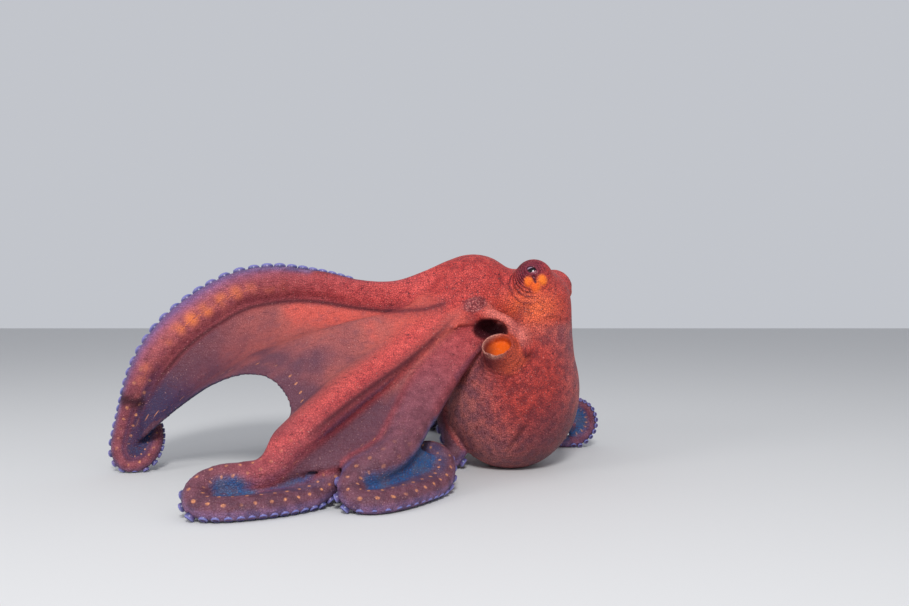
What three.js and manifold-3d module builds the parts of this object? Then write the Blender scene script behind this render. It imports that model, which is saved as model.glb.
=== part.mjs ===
// A day octopus (Octopus cyanea) crawling over the sea bed, as a still, life-size display model.
// The animal faces -X and shows its left side to -Y. Its mantle hangs down behind the head, and the
// eight arms fan out from the arm crown with the web stretched between them like a tent.
// Millimetres, +Z up. Every piece is one closed solid, GAP clear of its neighbours.
import * as THREE from 'three';
import { mergeVertices } from 'three/addons/utils/BufferGeometryUtils.js';
import Module from 'manifold-3d';

const wasm = await Module();
wasm.setup();

const vec = (p) => new THREE.Vector3(...p);
const { lerp } = THREE.MathUtils;

// ---------- driving dimensions ----------
const GAP = 0.3; // clear space between pieces that meet
const FLOOR = 0.5; // everything below this level is pressed flat
const STEPS = { // sides and rows of the round forms
  mantle: [18, 12], neck: [14, 8], head: [14, 9], crown: [14, 9], mound: [12, 7], eye: [12, 6], funnel: 16,
};

const MANTLE = { centre: [44, 2, 55.5], radii: [48.5, 44, 57], lean: 0.3, taper: 0.07 };
const NECK = { centre: [59, 2, 97], radii: [27.5, 29, 25] };
const HEAD = { centre: [58, 1, 121], radii: [28, 29, 27] };
const CROWN = { centre: [14, 8, 129], radii: [32, 30, 28.5] };
const EYE_MOUND_RADIUS = 14;
const EYE_RADIUS = 10;
const EYE_OFFSET = 4.6; // from the mound's centre to the eyeball's, along the gaze
const EYES = {
  left: { mound: [57, -15, 138.5], gaze: [-0.19, -0.89, 0.41] },
  right: { mound: [75, 16, 132.5], gaze: [0.72, 0.68, 0.11] },
};
const FUNNEL = { // a tube that narrows to its waist and opens at its mouth; bore is how deep it is hollow
  root: [46, -16, 72], mouth: [29.5, -43, 92], rootRadius: 15, waistRadius: 11.5, waist: 0.72,
  mouthRadius: 10.5, wall: 1.6, throatRadius: 7.9, throat: 0.4, bore: 22,
};

// Each arm: its route from inside the crown to the tip, and its half width at each tenth of its length.
// face is the way its outer (aboral) flank looks at the root. From there the flank follows the bends
// without twisting, apart from the turns in twist, in radians, evenly spaced along the arm. cuts part the
// arm into three lengths.
const ARM_THICKNESS = { root: 0.8, tip: 0.62 }; // thickness over width
const SUCKER_SIDE = { depth: 0.85, round: 0.7 }; // the sucker side is shallower and squarer than the outside
const ARM_SIDES = { base: 8, middle: 8, tip: 6 };
const ARM_SAMPLES = 200;
const RING = { apart: 29, bend: 0.69 }; // longest step between rings, and the most bend in one step
const INNER_BEND = 0.55; // how far towards a bend's own centre an arm's inner side may reach
const ARMS = {
  left_1: {
    face: [0, -1, 0.3], twist: [0, -0.5, -0.5, -0.4, -0.4], cuts: [0.36, 0.68],
    girth: [15.5, 13.4, 9.8, 10.8, 13.6, 14.2, 12.8, 9.4, 7.8, 5.4, 1.6],
    route: [[24, 5, 132], [-7, 2, 133], [-40, 2, 126], [-71, 8, 128], [-102, 14, 134], [-133, 16, 136],
      [-162, 14, 131], [-185, 8, 118], [-205, 0, 101], [-219, -9, 81], [-227, -14, 63], [-232, -14, 47],
      [-237, -14, 29], [-238, -18, 15], [-231, -21, 6.6], [-221, -19, 9], [-217, -12, 19], [-220, -4, 30],
      [-228, 1, 35], [-236, 4, 30], [-237, 7, 21], [-231, 9, 16]],
  },
  left_2: {
    face: [-0.1, -0.8, 0.7], twist: [0, 0, 0, 0, 0], cuts: [0.43, 0.67],
    girth: [14, 13.4, 12.6, 11.2, 9.4, 7.8, 7.4, 7.8, 7.4, 4.8, 1.5],
    route: [[20, 0, 127], [-3, -12, 113], [-24, -28, 95], [-46, -51, 77], [-66, -76, 63], [-84, -97, 49],
      [-100, -108, 35], [-112, -115, 23], [-125, -119, 21], [-138, -123, 20], [-146, -131, 15],
      [-142, -140, 9], [-129, -142, 7.5], [-114, -138, 7.5], [-99, -131, 7.5], [-86, -121, 8],
      [-77, -111, 11], [-73, -102, 17], [-76, -95, 23], [-83, -89, 25], [-91, -84, 20], [-93, -78, 12],
      [-87, -72, 5.5], [-76, -69, 3], [-67, -71, 1.5]],
  },
  left_3: {
    face: [0.3, -0.8, 0.5], twist: [0, 0, 0, 0, 0], cuts: [0.38, 0.62],
    girth: [13.5, 13, 12.6, 12, 10.6, 8.2, 7.4, 8.2, 7.4, 4.6, 1.5],
    route: [[18, 2, 119], [7, -18, 95], [-8, -41, 75], [-19, -62, 59], [-27, -81, 44], [-35, -97, 31],
      [-45, -106, 25], [-56, -111, 20], [-61, -118, 13.5], [-56, -125, 8], [-43, -125, 7], [-30, -115, 7.5],
      [-19, -101, 8], [-11, -88, 9], [-7, -78, 14], [-8, -70, 21], [-14, -64, 25], [-23, -57, 24],
      [-30, -49, 17], [-30, -41, 9], [-22, -35, 4.5], [-11, -33, 2.5], [-3, -37, 1.5]],
  },
  left_4: {
    face: [0.8, -0.6, 0], twist: [0, 0, 1.6, 3, 3, 3], cuts: [0.34, 0.64],
    girth: [12.5, 12, 11.3, 10.4, 9.6, 8.6, 7.6, 6.5, 5.2, 3.6, 1.5],
    route: [[20, 12, 110], [9, 19, 84], [0, 15, 58], [-2, 3, 34], [1, -7, 16], [-5, -10, 7], [-18, 0, 5.6],
      [-30, 19, 5], [-47, 33, 4.5], [-67, 35, 4], [-81, 24, 3.4], [-79, 8, 2.9], [-66, 2, 2.4], [-55, 8, 2],
      [-57, 18, 1.5], [-66, 20, 1]],
  },
  right_4: {
    face: [0.8, 0.6, 0.2], twist: [0, 0, 0.4, 0.4, 0.4], cuts: [0.36, 0.68],
    girth: [13, 12.6, 12, 11, 10, 8.8, 7.6, 6.4, 5.2, 3.8, 1.5],
    route: [[24, 15, 108], [36, 42, 96], [50, 61, 68], [64, 71, 37], [77, 76, 13], [92, 76, 4.8],
      [106, 74, 8.5], [114, 74, 19], [112, 74, 32], [102, 75, 38], [91, 73, 34], [87, 71, 25], [92, 69, 18],
      [100, 68, 20]],
  },
  right_3: {
    face: [0.3, 0.5, 0.8], twist: [0, 0, 0, 0, 0], cuts: [0.36, 0.66],
    girth: [13, 12.6, 12, 11, 10, 9, 7.8, 6.6, 5.2, 3.6, 1.5],
    route: [[26, 21, 113], [38, 51, 102], [50, 88, 70], [61, 121, 33], [71, 146, 12], [84, 170, 5.2],
      [93, 193, 4.4], [84, 212, 3.9], [63, 217, 3.4], [50, 203, 2.9], [54, 188, 2.4], [67, 184, 2],
      [75, 193, 1.5], [69, 201, 1]],
  },
  right_2: {
    face: [-0.2, 0.5, 0.8], twist: [0, 0, 0, 0, 0], cuts: [0.36, 0.66],
    girth: [13.5, 13, 12.4, 11.4, 10.4, 9.2, 8, 6.8, 5.4, 3.8, 1.5],
    route: [[22, 24, 120], [16, 58, 106], [5, 96, 70], [-7, 127, 35], [-15, 150, 13], [-25, 176, 5.4],
      [-27, 203, 4.6], [-12, 222, 4.2], [9, 222, 3.6], [20, 207, 3], [13, 192, 2.6], [-1, 191, 2.1],
      [-7, 201, 1.5], [0, 208, 1]],
  },
  right_1: {
    face: [-0.2, 0.4, 0.9], twist: [0, 0, 0, 0, 0], cuts: [0.36, 0.66],
    girth: [14.5, 14, 13.2, 12.2, 11, 9.8, 8.4, 7, 5.6, 4, 1.5],
    route: [[20, 18, 129], [-9, 37, 127], [-43, 58, 104], [-73, 80, 70], [-97, 101, 36], [-113, 120, 13],
      [-124, 145, 5.5], [-121, 171, 4.6], [-104, 188, 4.2], [-83, 187, 3.6], [-71, 171, 3], [-76, 155, 2.6],
      [-91, 154, 2.1], [-98, 166, 1.5], [-90, 173, 1]],
  },
};

// Each web runs from one arm to the next round the crown. reach is how far it follows each arm, draw how
// much less of the arms its middle follows, and billow how far it bulges outwards. Its free rim has its own
// points, or is a curve that hangs drawn back to the crown by draw. panels part it, each as
// [name, from and to across it, from and to down it].
const WEB_THICKNESS = { crown: 4.6, rim: 3 };
const EDGE_GAP = 1; // clear space between a web's edge and its arm's side
const FORK = 4; // a web starts where its two edges are this far apart, or as far as its own apart
const SEAM = 0.003; // each panel of a web stops this short of the line it shares with the next
const BELLY = 0.85; // how far down a web its bulge stays the same
const MOST_BILLOW = 0.12; // of the web's width there
const WEBS = [
  { from: 'left_1', to: 'left_2', reach: [0.78, 0.44], draw: 0.36, billow: 8, steps: [16, 8], apart: 10,
    rim: [[-217, -22, 31], [-192, -30, 50], [-167, -40, 65], [-141, -52, 73], [-119, -64, 71],
      [-105, -76, 60], [-100, -86, 50]],
    panels: [['upper', 0, 1, 0, 0.5], ['front', 0, 0.5, 0.5, 1], ['back', 0.5, 1, 0.5, 1]] },
  { from: 'left_2', to: 'left_3', reach: [0.5, 0.37], draw: 0.2, billow: 4, steps: [7, 6], apart: 14,
    rim: [[-92, -112, 22], [-66, -104, 26], [-50, -99, 32]] },
  { from: 'left_3', to: 'left_4', reach: [0.3, 0.3], draw: 0.3, billow: 2, steps: [4, 3] },
  { from: 'left_4', to: 'right_4', reach: [0.34, 0.34], draw: 0.3, billow: -8, steps: [4, 3] },
  { from: 'right_4', to: 'right_3', reach: [0.42, 0.42], draw: 0.35, billow: 4, steps: [6, 4] },
  { from: 'right_3', to: 'right_2', reach: [0.44, 0.44], draw: 0.35, billow: 6, steps: [6, 4] },
  { from: 'right_2', to: 'right_1', reach: [0.44, 0.44], draw: 0.35, billow: 6, steps: [6, 4] },
  { from: 'right_1', to: 'left_1', reach: [0.42, 0.3], draw: 0.35, billow: 2, steps: [6, 4] },
];

// ---------- solids ----------
// A closed surface from rows of points. Each row is a ring, and the end rings are closed by a strip that
// joins each point to the one opposite it, so a long thin ring stays open along its bend.
function ringsToGeometry(rows) {
  const sides = rows[0].length;
  const faces = [];
  for (let i = 0; i + 1 < rows.length; i++) {
    for (let k = 0; k < sides; k++) {
      const [a, b] = [i * sides + k, i * sides + ((k + 1) % sides)];
      faces.push(a, b, a + sides, b, b + sides, a + sides);
    }
  }
  const last = (rows.length - 1) * sides;
  for (let k = 0; k < sides / 2 - 1; k++) {
    const [a, b, c, d] = [k, k + 1, sides - 2 - k, sides - 1 - k];
    faces.push(a, c, b, a, d, c);
    faces.push(last + a, last + b, last + c, last + a, last + c, last + d);
  }
  return new THREE.BufferGeometry().setFromPoints(rows.flat()).setIndex(faces);
}

// A manifold-3d solid of a closed geometry, turned so that its faces point out.
function solidOf(geometry) {
  geometry.deleteAttribute('normal');
  geometry.deleteAttribute('uv');
  const merged = mergeVertices(geometry, 1e-4);
  const make = (triVerts) => new wasm.Manifold(new wasm.Mesh({
    numProp: 3, vertProperties: merged.attributes.position.array, triVerts }));
  const solid = make(new Uint32Array(merged.index.array));
  return solid.volume() > 0 ? solid : make(new Uint32Array(merged.index.array).reverse());
}

const largest = (solid) => solid.decompose().sort((a, b) => b.volume() - a.volume())[0];

// ---------- body: round forms about a centre ----------
function blob({ centre, radii, lean = 0, taper = 0 }, [sides, rows], grow) {
  const geometry = new THREE.SphereGeometry(1, sides, rows).rotateX(Math.PI / 2);
  const position = geometry.getAttribute('position');
  const p = new THREE.Vector3();
  for (let i = 0; i < position.count; i++) {
    p.fromBufferAttribute(position, i);
    const round = 1 - taper * p.z; // narrower towards the top
    p.set(p.x * (radii[0] + grow) * round, p.y * (radii[1] + grow) * round, p.z * (radii[2] + grow));
    p.applyAxisAngle(new THREE.Vector3(0, 1, 0), lean).add(vec(centre));
    position.setXYZ(i, p.x, p.y, p.z);
  }
  return solidOf(geometry);
}

const ball = (centre, radius, steps) => blob({ centre, radii: [radius, radius, radius] }, steps, 0);

function eyeCentre({ mound, gaze }) {
  return vec(mound).addScaledVector(vec(gaze).normalize(), EYE_OFFSET).toArray();
}

function headSolid(grow) {
  let head = blob(HEAD, STEPS.head, grow);
  for (const eye of Object.values(EYES)) {
    head = head.add(ball(eye.mound, EYE_MOUND_RADIUS + grow, STEPS.mound));
  }
  return head;
}

// The funnel, turned from a closed profile. Its grown form is filled up to the mouth.
function funnelSolid(grow) {
  const axis = vec(FUNNEL.mouth).sub(vec(FUNNEL.root));
  const length = axis.length();
  const { rootRadius, waistRadius, waist, mouthRadius, wall, throatRadius, throat, bore } = FUNNEL;
  const outside = [[0, 0], [rootRadius + grow, 0], [waistRadius + grow, length * waist],
    [mouthRadius + grow, length + grow]];
  const inside = grow > 0
    ? [[0, length + grow]]
    : [[mouthRadius - wall, length], [throatRadius, length - bore * (1 - throat)], [0, length - bore]];
  const profile = [...outside, ...inside].map(([r, z]) => new THREE.Vector2(r, z));
  const geometry = new THREE.LatheGeometry(profile, STEPS.funnel).rotateX(Math.PI / 2); // its axis along +Z
  geometry.applyQuaternion(new THREE.Quaternion().setFromUnitVectors(vec([0, 0, 1]), axis.normalize()));
  return solidOf(geometry.translate(...FUNNEL.root));
}

// ---------- arms ----------
// A smooth curve through evenly spaced values, at t from 0 to 1.
function through(values, t) {
  const last = values.length - 1;
  const i = Math.min(Math.floor(t * last), last - 1);
  const x = t * last - i;
  const [a, b, c, d] = [-1, 0, 1, 2].map((k) => values[Math.min(Math.max(i + k, 0), last)]);
  return b + 0.5 * x * (c - a + x * (2 * a - 5 * b + 4 * c - d + x * (3 * (b - c) + d - a)));
}

// Follows each arm in short steps, carrying its flank along without twist and counting its bends.
for (const arm of Object.values(ARMS)) {
  arm.curve = new THREE.CatmullRomCurve3(arm.route.map(vec), false, 'centripetal');
  arm.curve.arcLengthDivisions = 600;
  arm.length = arm.curve.getLength();
  arm.flanks = [];
  arm.effort = [0];
  let flank = vec(arm.face);
  for (let i = 0; i <= ARM_SAMPLES; i++) {
    const along = arm.curve.getTangentAt(i / ARM_SAMPLES);
    flank = flank.clone().addScaledVector(along, -flank.dot(along)).normalize();
    arm.flanks.push(flank);
    if (i === 0) continue;
    const bend = along.angleTo(arm.curve.getTangentAt((i - 1) / ARM_SAMPLES));
    arm.effort.push(arm.effort[i - 1] + bend / RING.bend + arm.length / ARM_SAMPLES / RING.apart);
  }
}

const BEND_SPAN = 0.008; // share of an arm's length over which its bend is measured
// The arm's own frame at t (0 root, 1 tip): aboral is its outer flank, side points to the previous arm, and
// bend points to the centre of its bend, as long as one over the bend's radius.
function armFrame(arm, t) {
  const centre = arm.curve.getPointAt(t);
  const along = arm.curve.getTangentAt(t);
  const x = t * ARM_SAMPLES;
  const i = Math.min(Math.floor(x), ARM_SAMPLES - 1);
  const flank = arm.flanks[i].clone().lerp(arm.flanks[i + 1], x - i);
  flank.addScaledVector(along, -flank.dot(along)).normalize();
  const aboral = flank.applyAxisAngle(along, through(arm.twist, t));
  const side = along.clone().cross(aboral);
  const width = through(arm.girth, t);
  const thickness = width * lerp(ARM_THICKNESS.root, ARM_THICKNESS.tip, t);
  const [before, after] = [Math.max(t - BEND_SPAN, 0), Math.min(t + BEND_SPAN, 1)];
  const bend = arm.curve.getTangentAt(after).sub(arm.curve.getTangentAt(before));
  bend.divideScalar((after - before) * arm.length);
  return { centre, aboral, side, width, thickness, bend };
}

// A ring of the arm's section: round outside, flatter on the sucker side.
function armRing(arm, t, sides, grow) {
  const { centre, aboral, side, width, thickness, bend } = armFrame(arm, t);
  return Array.from({ length: sides }, (_, k) => {
    const angle = (2 * Math.PI * (k + 0.5)) / sides;
    const across = (width + grow) * Math.cos(angle);
    const rise = Math.sin(angle);
    const sunk = SUCKER_SIDE.depth * Math.abs(rise) ** SUCKER_SIDE.round;
    const up = (thickness + grow) * (rise > 0 ? rise : -sunk);
    const out = side.clone().multiplyScalar(across).addScaledVector(aboral, up);
    const over = out.dot(bend) - INNER_BEND; // pressed in where the bend is tighter than the arm is thick
    if (over > 0) out.addScaledVector(bend, -over / bend.lengthSq());
    return out.add(centre);
  });
}

// Rings from one place to another along an arm, closer together where it bends.
function ringPlaces(arm, from, to) {
  const effortAt = (t) => {
    const i = Math.min(Math.floor(t * ARM_SAMPLES), ARM_SAMPLES - 1);
    return lerp(arm.effort[i], arm.effort[i + 1], t * ARM_SAMPLES - i);
  };
  const [start, end] = [effortAt(from), effortAt(to)];
  const steps = Math.max(2, Math.round(end - start));
  const places = [from];
  for (let k = 1; k < steps; k++) {
    const wanted = start + ((end - start) * k) / steps;
    const i = arm.effort.findIndex((effort) => effort >= wanted);
    places.push(THREE.MathUtils.mapLinear(wanted, arm.effort[i - 1], arm.effort[i], i - 1, i) / ARM_SAMPLES);
  }
  return [...places, to];
}

function armSolid(arm, from, to, sides, grow) {
  return solidOf(ringsToGeometry(ringPlaces(arm, from, to).map((t) => armRing(arm, t, sides, grow))));
}

// ---------- webs ----------
const FLANK = Math.cos(Math.PI / ARM_SIDES.base); // where an arm's flat side is, in half widths
// Where a web meets an arm: just clear of its side. turn is 1 or -1.
function attach(arm, turn, t) {
  const { centre, side, width } = armFrame(arm, t);
  return centre.addScaledVector(side, turn * (FLANK * width + EDGE_GAP));
}

const arch = (u) => 4 * u * (1 - u); // 0 at both edges of a web and 1 midway

// The share of a web's reach at which the sides of its two arms have parted by FORK.
function forkOf({ from, to, reach, apart = FORK }) {
  const step = 0.01;
  let share = 5 * step;
  const gap = () => {
    const [ta, tb] = reach.map((r) => r * share);
    const [a, b] = [ARMS[from], ARMS[to]];
    const between = b.curve.getPointAt(tb).sub(a.curve.getPointAt(ta)).normalize();
    return attach(b, 1, tb).sub(attach(a, -1, ta)).dot(between);
  };
  while (gap() < apart) share += step;
  return share;
}

// A web's place at u across it and v down it, from where its arms fork (0) to its free rim (1).
function webPoint(web, rim, u, v) {
  const [a, b] = [ARMS[web.from], ARMS[web.to]];
  const ends = web.reach.map((reach) => reach * (1 - web.draw * arch(u)));
  const [ta, tb] = ends.map((end, i) => lerp(web.reach[i] * web.fork, end, v));
  const [start, end] = [attach(a, -1, ta), attach(b, 1, tb)];
  const billow = Math.min(web.billow, MOST_BILLOW * start.distanceTo(end));
  const p = start.lerp(end, u);
  const hung = attach(a, -1, ends[0]).lerp(attach(b, 1, ends[1]), u);
  p.addScaledVector(rim(u).sub(hung), v);
  const out = armFrame(a, ta).aboral.lerp(armFrame(b, tb).aboral, u).normalize();
  return p.addScaledVector(out, billow * arch(u) * Math.sin(Math.PI * Math.min(v, BELLY)));
}

// The free rim as a function of u: through its own points, or as its arms' ends let it hang.
function rimOf(web) {
  const [a, b] = [ARMS[web.from], ARMS[web.to]];
  if (!web.rim) {
    return (u) => attach(a, -1, web.reach[0] * (1 - web.draw * arch(u)))
      .lerp(attach(b, 1, web.reach[1] * (1 - web.draw * arch(u))), u);
  }
  const [start, end] = [attach(a, -1, web.reach[0]), attach(b, 1, web.reach[1])];
  const curve = new THREE.CatmullRomCurve3([start, ...web.rim.map(vec), end], false, 'centripetal');
  return (u) => curve.getPointAt(u);
}

// One panel of a web: a stretch of its sheet, across by u and down by v, with its thickness.
function webSolid(web, [, ...stretch]) {
  const rim = rimOf(web);
  const [u0, u1, v0, v1] = stretch.map((x, i) => (x === 0 || x === 1 ? x : x + (i % 2 ? -SEAM : SEAM)));
  const [nu, nv] = [Math.round((u1 - u0) * web.steps[0]), Math.round((v1 - v0) * web.steps[1])];
  const nudge = 0.01;
  const pointOfSkin = (u, v, turn) => {
    const [ua, va] = [Math.min(u, 1 - nudge), Math.min(v, 1 - nudge)];
    const across = webPoint(web, rim, ua + nudge, v).sub(webPoint(web, rim, ua, v));
    const down = webPoint(web, rim, u, va + nudge).sub(webPoint(web, rim, u, va));
    const thick = lerp(WEB_THICKNESS.crown, WEB_THICKNESS.rim, Math.sqrt(v));
    return webPoint(web, rim, u, v).addScaledVector(across.cross(down).normalize(), (turn * thick) / 2);
  };
  const skin = (turn) => Array.from({ length: nv + 1 }, (_, j) => Array.from({ length: nu + 1 },
    (__, i) => pointOfSkin(lerp(u0, u1, i / nu), lerp(v0, v1, j / nv), turn)));
  const [outer, inner] = [skin(1), skin(-1)];
  // Each row becomes a flat ring: out along the outer skin and back along the inner one.
  return solidOf(ringsToGeometry(outer.map((row, j) => [...row, ...inner[j].slice().reverse()])));
}

// ---------- assembly ----------
const COLOURS = {
  skin: { color: 0xa8452f, roughness: 0.55 }, web: { color: 0x9a4638, roughness: 0.6 },
  arm: { color: 0x8c3f35, roughness: 0.55 }, funnel: { color: 0xd9772a, roughness: 0.5 },
  eye: { color: 0x1a1414, roughness: 0.15 },
};
const MATERIALS = Object.fromEntries(Object.entries(COLOURS).map(([name, look]) =>
  [name, new THREE.MeshStandardMaterial({ ...look, metalness: 0 })]));

// Every piece with its solid grown by GAP, in order: each is cut clear of the grown ones before it.
const pieces = [];
function put(name, material, solidAt) {
  pieces.push({ name, material, solid: solidAt(0), grown: solidAt(GAP) });
}

for (const [side, eye] of Object.entries(EYES)) {
  put(`eye_${side}`, 'eye', (grow) => ball(eyeCentre(eye), EYE_RADIUS + grow, STEPS.eye));
}
put('funnel', 'funnel', funnelSolid);
put('head', 'skin', headSolid);
put('mantle', 'skin', (grow) => blob(MANTLE, STEPS.mantle, grow));
put('neck', 'skin', (grow) => blob(NECK, STEPS.neck, grow));
put('arm_crown', 'skin', (grow) => blob(CROWN, STEPS.crown, grow));

for (const [name, arm] of Object.entries(ARMS)) {
  const ends = [0, ...arm.cuts, 1];
  Object.entries(ARM_SIDES).forEach(([length, sides], i) => {
    const from = ends[i] + (i > 0 ? GAP / arm.length : 0);
    put(`arm_${name}_${length}`, 'arm', (grow) => armSolid(arm, from, ends[i + 1], sides, grow));
  });
}
for (const web of WEBS) {
  web.fork = forkOf(web);
  const name = `web_${web.from}_to_${web.to}`;
  for (const panel of web.panels ?? [['', 0, 1, 0, 1]]) {
    const ending = panel[0] && `_${panel[0]}`;
    pieces.push({ name: name + ending, material: 'web', solid: webSolid(web, panel) });
  }
}

const overlaps = (a, b) => [0, 1, 2].every((k) => a.min[k] < b.max[k] && b.min[k] < a.max[k]);
const [GROUND_WIDTH, GROUND_DEPTH] = [1000, 100];
const ground = solidOf(new THREE.BoxGeometry(GROUND_WIDTH, GROUND_WIDTH, GROUND_DEPTH)
  .translate(0, 0, FLOOR - GROUND_DEPTH / 2));

pieces.forEach((piece, i) => {
  for (const { grown } of pieces.slice(0, i)) {
    if (!grown || !overlaps(piece.solid.boundingBox(), grown.boundingBox())) continue;
    piece.solid = piece.solid.subtract(grown);
  }
  piece.solid = largest(piece.solid.subtract(ground));
});

// The origin is at the middle of the resting level, under the middle of the whole animal.
const bounds = new THREE.Box3();
for (const { solid } of pieces) {
  const box = solid.boundingBox();
  bounds.union(new THREE.Box3(vec(box.min), vec(box.max)));
}
const middle = bounds.getCenter(new THREE.Vector3());

const group = new THREE.Group();
for (const { name, material, solid } of pieces) {
  const { numProp, vertProperties, triVerts } = solid.getMesh();
  const corners = Array.from({ length: vertProperties.length / numProp }, (_, i) =>
    new THREE.Vector3().fromArray(vertProperties, i * numProp));
  const geometry = new THREE.BufferGeometry().setFromPoints(corners).setIndex([...triVerts]);
  geometry.translate(-middle.x, -middle.y, -FLOOR);
  const mesh = new THREE.Mesh(geometry, MATERIALS[material]);
  mesh.name = name;
  group.add(mesh);
}

export default group;
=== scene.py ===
import math
import bmesh
import bpy
import numpy as np
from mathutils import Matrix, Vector
from mathutils.kdtree import KDTree


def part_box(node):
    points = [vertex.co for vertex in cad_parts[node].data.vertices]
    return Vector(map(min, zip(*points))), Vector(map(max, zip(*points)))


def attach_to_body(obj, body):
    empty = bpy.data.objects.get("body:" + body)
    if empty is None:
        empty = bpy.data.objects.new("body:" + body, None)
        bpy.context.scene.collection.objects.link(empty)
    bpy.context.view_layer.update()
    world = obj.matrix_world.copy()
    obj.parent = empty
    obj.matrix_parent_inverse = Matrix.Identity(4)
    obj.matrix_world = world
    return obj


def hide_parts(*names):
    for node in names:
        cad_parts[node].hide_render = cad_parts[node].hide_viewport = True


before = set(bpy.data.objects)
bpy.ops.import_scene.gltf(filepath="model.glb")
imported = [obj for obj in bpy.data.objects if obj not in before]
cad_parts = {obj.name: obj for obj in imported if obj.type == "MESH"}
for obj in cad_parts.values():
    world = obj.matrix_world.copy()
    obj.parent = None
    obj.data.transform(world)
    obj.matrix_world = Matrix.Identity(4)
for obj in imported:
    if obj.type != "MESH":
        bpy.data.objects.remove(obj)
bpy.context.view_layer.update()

# ---------- the body's forms: mantle, neck, head and arm crown ----------
# Soft round masses of muscle under one skin: the mantle hangs down behind the head like a full sack, and
# the crown, where the arms meet, stands in front of it. Each is an egg shape in millimetres about its own
# centre, pressed into a grid of distances from which the skin is drawn further down.
EYE_LEFT_AT = np.array((56.126, -19.083, 140.405))  # the left eye's centre in these millimetres
SHIFT = np.array(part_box("eye_left")).mean(axis=0) * 1000 - EYE_LEFT_AT  # to the row's own frame

ROUND_FORMS = {  # centre, half sizes, lean about the side axis, taper towards the top
    "mantle": ((44, 2, 55.5), (48.5, 44, 57), 0.3, 0.07),
    "neck": ((59, 2, 97), (27.5, 29, 25), 0.0, 0.0),
    "head": ((58, 1, 121), (28, 29, 27), 0.0, 0.0),
    "crown": ((14, 8, 129), (32, 30, 28.5), 0.0, 0.0),
}
EYES = {  # the mound each eye sits in, and where it looks
    "left": ((57, -15, 138.5), (-0.19, -0.89, 0.41)),
    "right": ((75, 16, 132.5), (0.72, 0.68, 0.11)),
}
MOUND_RADIUS = 14.0
CROWN_FILLET = 11.0
MOUND_FILLET = 5.0

PITCH = 2.0  # between the grid's points
MARGIN = 7.0  # distances are true this far from a surface
FAR = 50.0  # and are set to this beyond
GRID_LOW = np.array((-256.0, -160.0, -6.0))
GRID_SIZE = np.ceil((np.array((130.0, 242.0, 170.0)) - GRID_LOW) / PITCH).astype(int)


def new_field():
    return np.full(GRID_SIZE, FAR, dtype=np.float32)


def window(low, high):
    """The part of the grid between two corners: its slices, and the places of its points."""
    first = np.clip(((np.array(low) - MARGIN - GRID_LOW) / PITCH).astype(int), 0, GRID_SIZE - 1)
    last = np.clip(((np.array(high) + MARGIN - GRID_LOW) / PITCH).astype(int) + 2, first + 1, GRID_SIZE)
    rows = [GRID_LOW[k] + PITCH * np.arange(first[k], last[k], dtype=np.float32) for k in range(3)]
    places = np.stack(np.meshgrid(*rows, indexing="ij"), axis=-1).astype(np.float32)
    return tuple(slice(a, b) for a, b in zip(first, last)), places


def fillet(a, b, width):
    """The union of two distances, rounded where they meet over about that width."""
    share = np.clip(0.5 + 0.5 * (b - a) / width, 0, 1)
    return b + (a - b) * share - width * share * (1 - share)


def unit(v):
    v = np.asarray(v, dtype=float)
    return v / np.maximum(np.linalg.norm(v, axis=-1, keepdims=True), 1e-9)


def round_distance(places, centre, sizes, lean, taper):
    """Distance from an egg shape that leans and narrows upwards."""
    x, y, z = np.moveaxis(places - np.array(centre, dtype=np.float32), -1, 0)
    x, z = x * math.cos(lean) - z * math.sin(lean), x * math.sin(lean) + z * math.cos(lean)
    narrow = 1 - taper * np.clip(z / sizes[2], -1, 1)
    far = np.sqrt(x * x + y * y + z * z)
    share = np.sqrt((x / (sizes[0] * narrow)) ** 2 + (y / (sizes[1] * narrow)) ** 2 + (z / sizes[2]) ** 2)
    return far * (1 - 1 / np.maximum(share, 1e-3))


def eye_frame(side):
    """The middle of an eye's mound, where the eye looks, and the level and rising directions across that."""
    mound, gaze = EYES[side]
    gaze = unit(gaze)
    level = unit(np.cross(gaze, (0, 0, 1)))
    return np.array(mound), gaze, level, unit(np.cross(level, gaze))


def add_round_form(field, name, reach):
    """Fillets one of the body's round forms into a field, within a reach of its centre."""
    centre = np.array(ROUND_FORMS[name][0])
    cells, places = window(centre - reach, centre + reach)
    field[cells] = fillet(field[cells], round_distance(places, *ROUND_FORMS[name]), CROWN_FILLET)


body_field = new_field()
for name in ("crown", "head"):
    add_round_form(body_field, name, 40)
for mound, _ in EYES.values():
    cells, places = window(np.array(mound) - MOUND_RADIUS, np.array(mound) + MOUND_RADIUS)
    distance = np.linalg.norm(places - np.array(mound, dtype=np.float32), axis=-1) - MOUND_RADIUS
    body_field[cells] = fillet(body_field[cells], distance, MOUND_FILLET)
sack_field = new_field()
for name in ("mantle", "neck"):
    add_round_form(sack_field, name, 66)

# ---------- the arms ----------
# Eight muscular arms of one length of flesh each, widest where they leave the crown. Each is a row of
# sections along a given route: round outside and squarer on the sucker side, turning with the arm.
ARM_STEP = 3.0  # between sections
ARM_THICKNESS = (0.8, 0.62)  # over half width, at root and tip
SUCKER_SIDE_DEPTH = 0.85
LEAST_HALF = 1.7


def mix(a, b, share):
    """From a to b by a share."""
    return a + (b - a) * share


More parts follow.
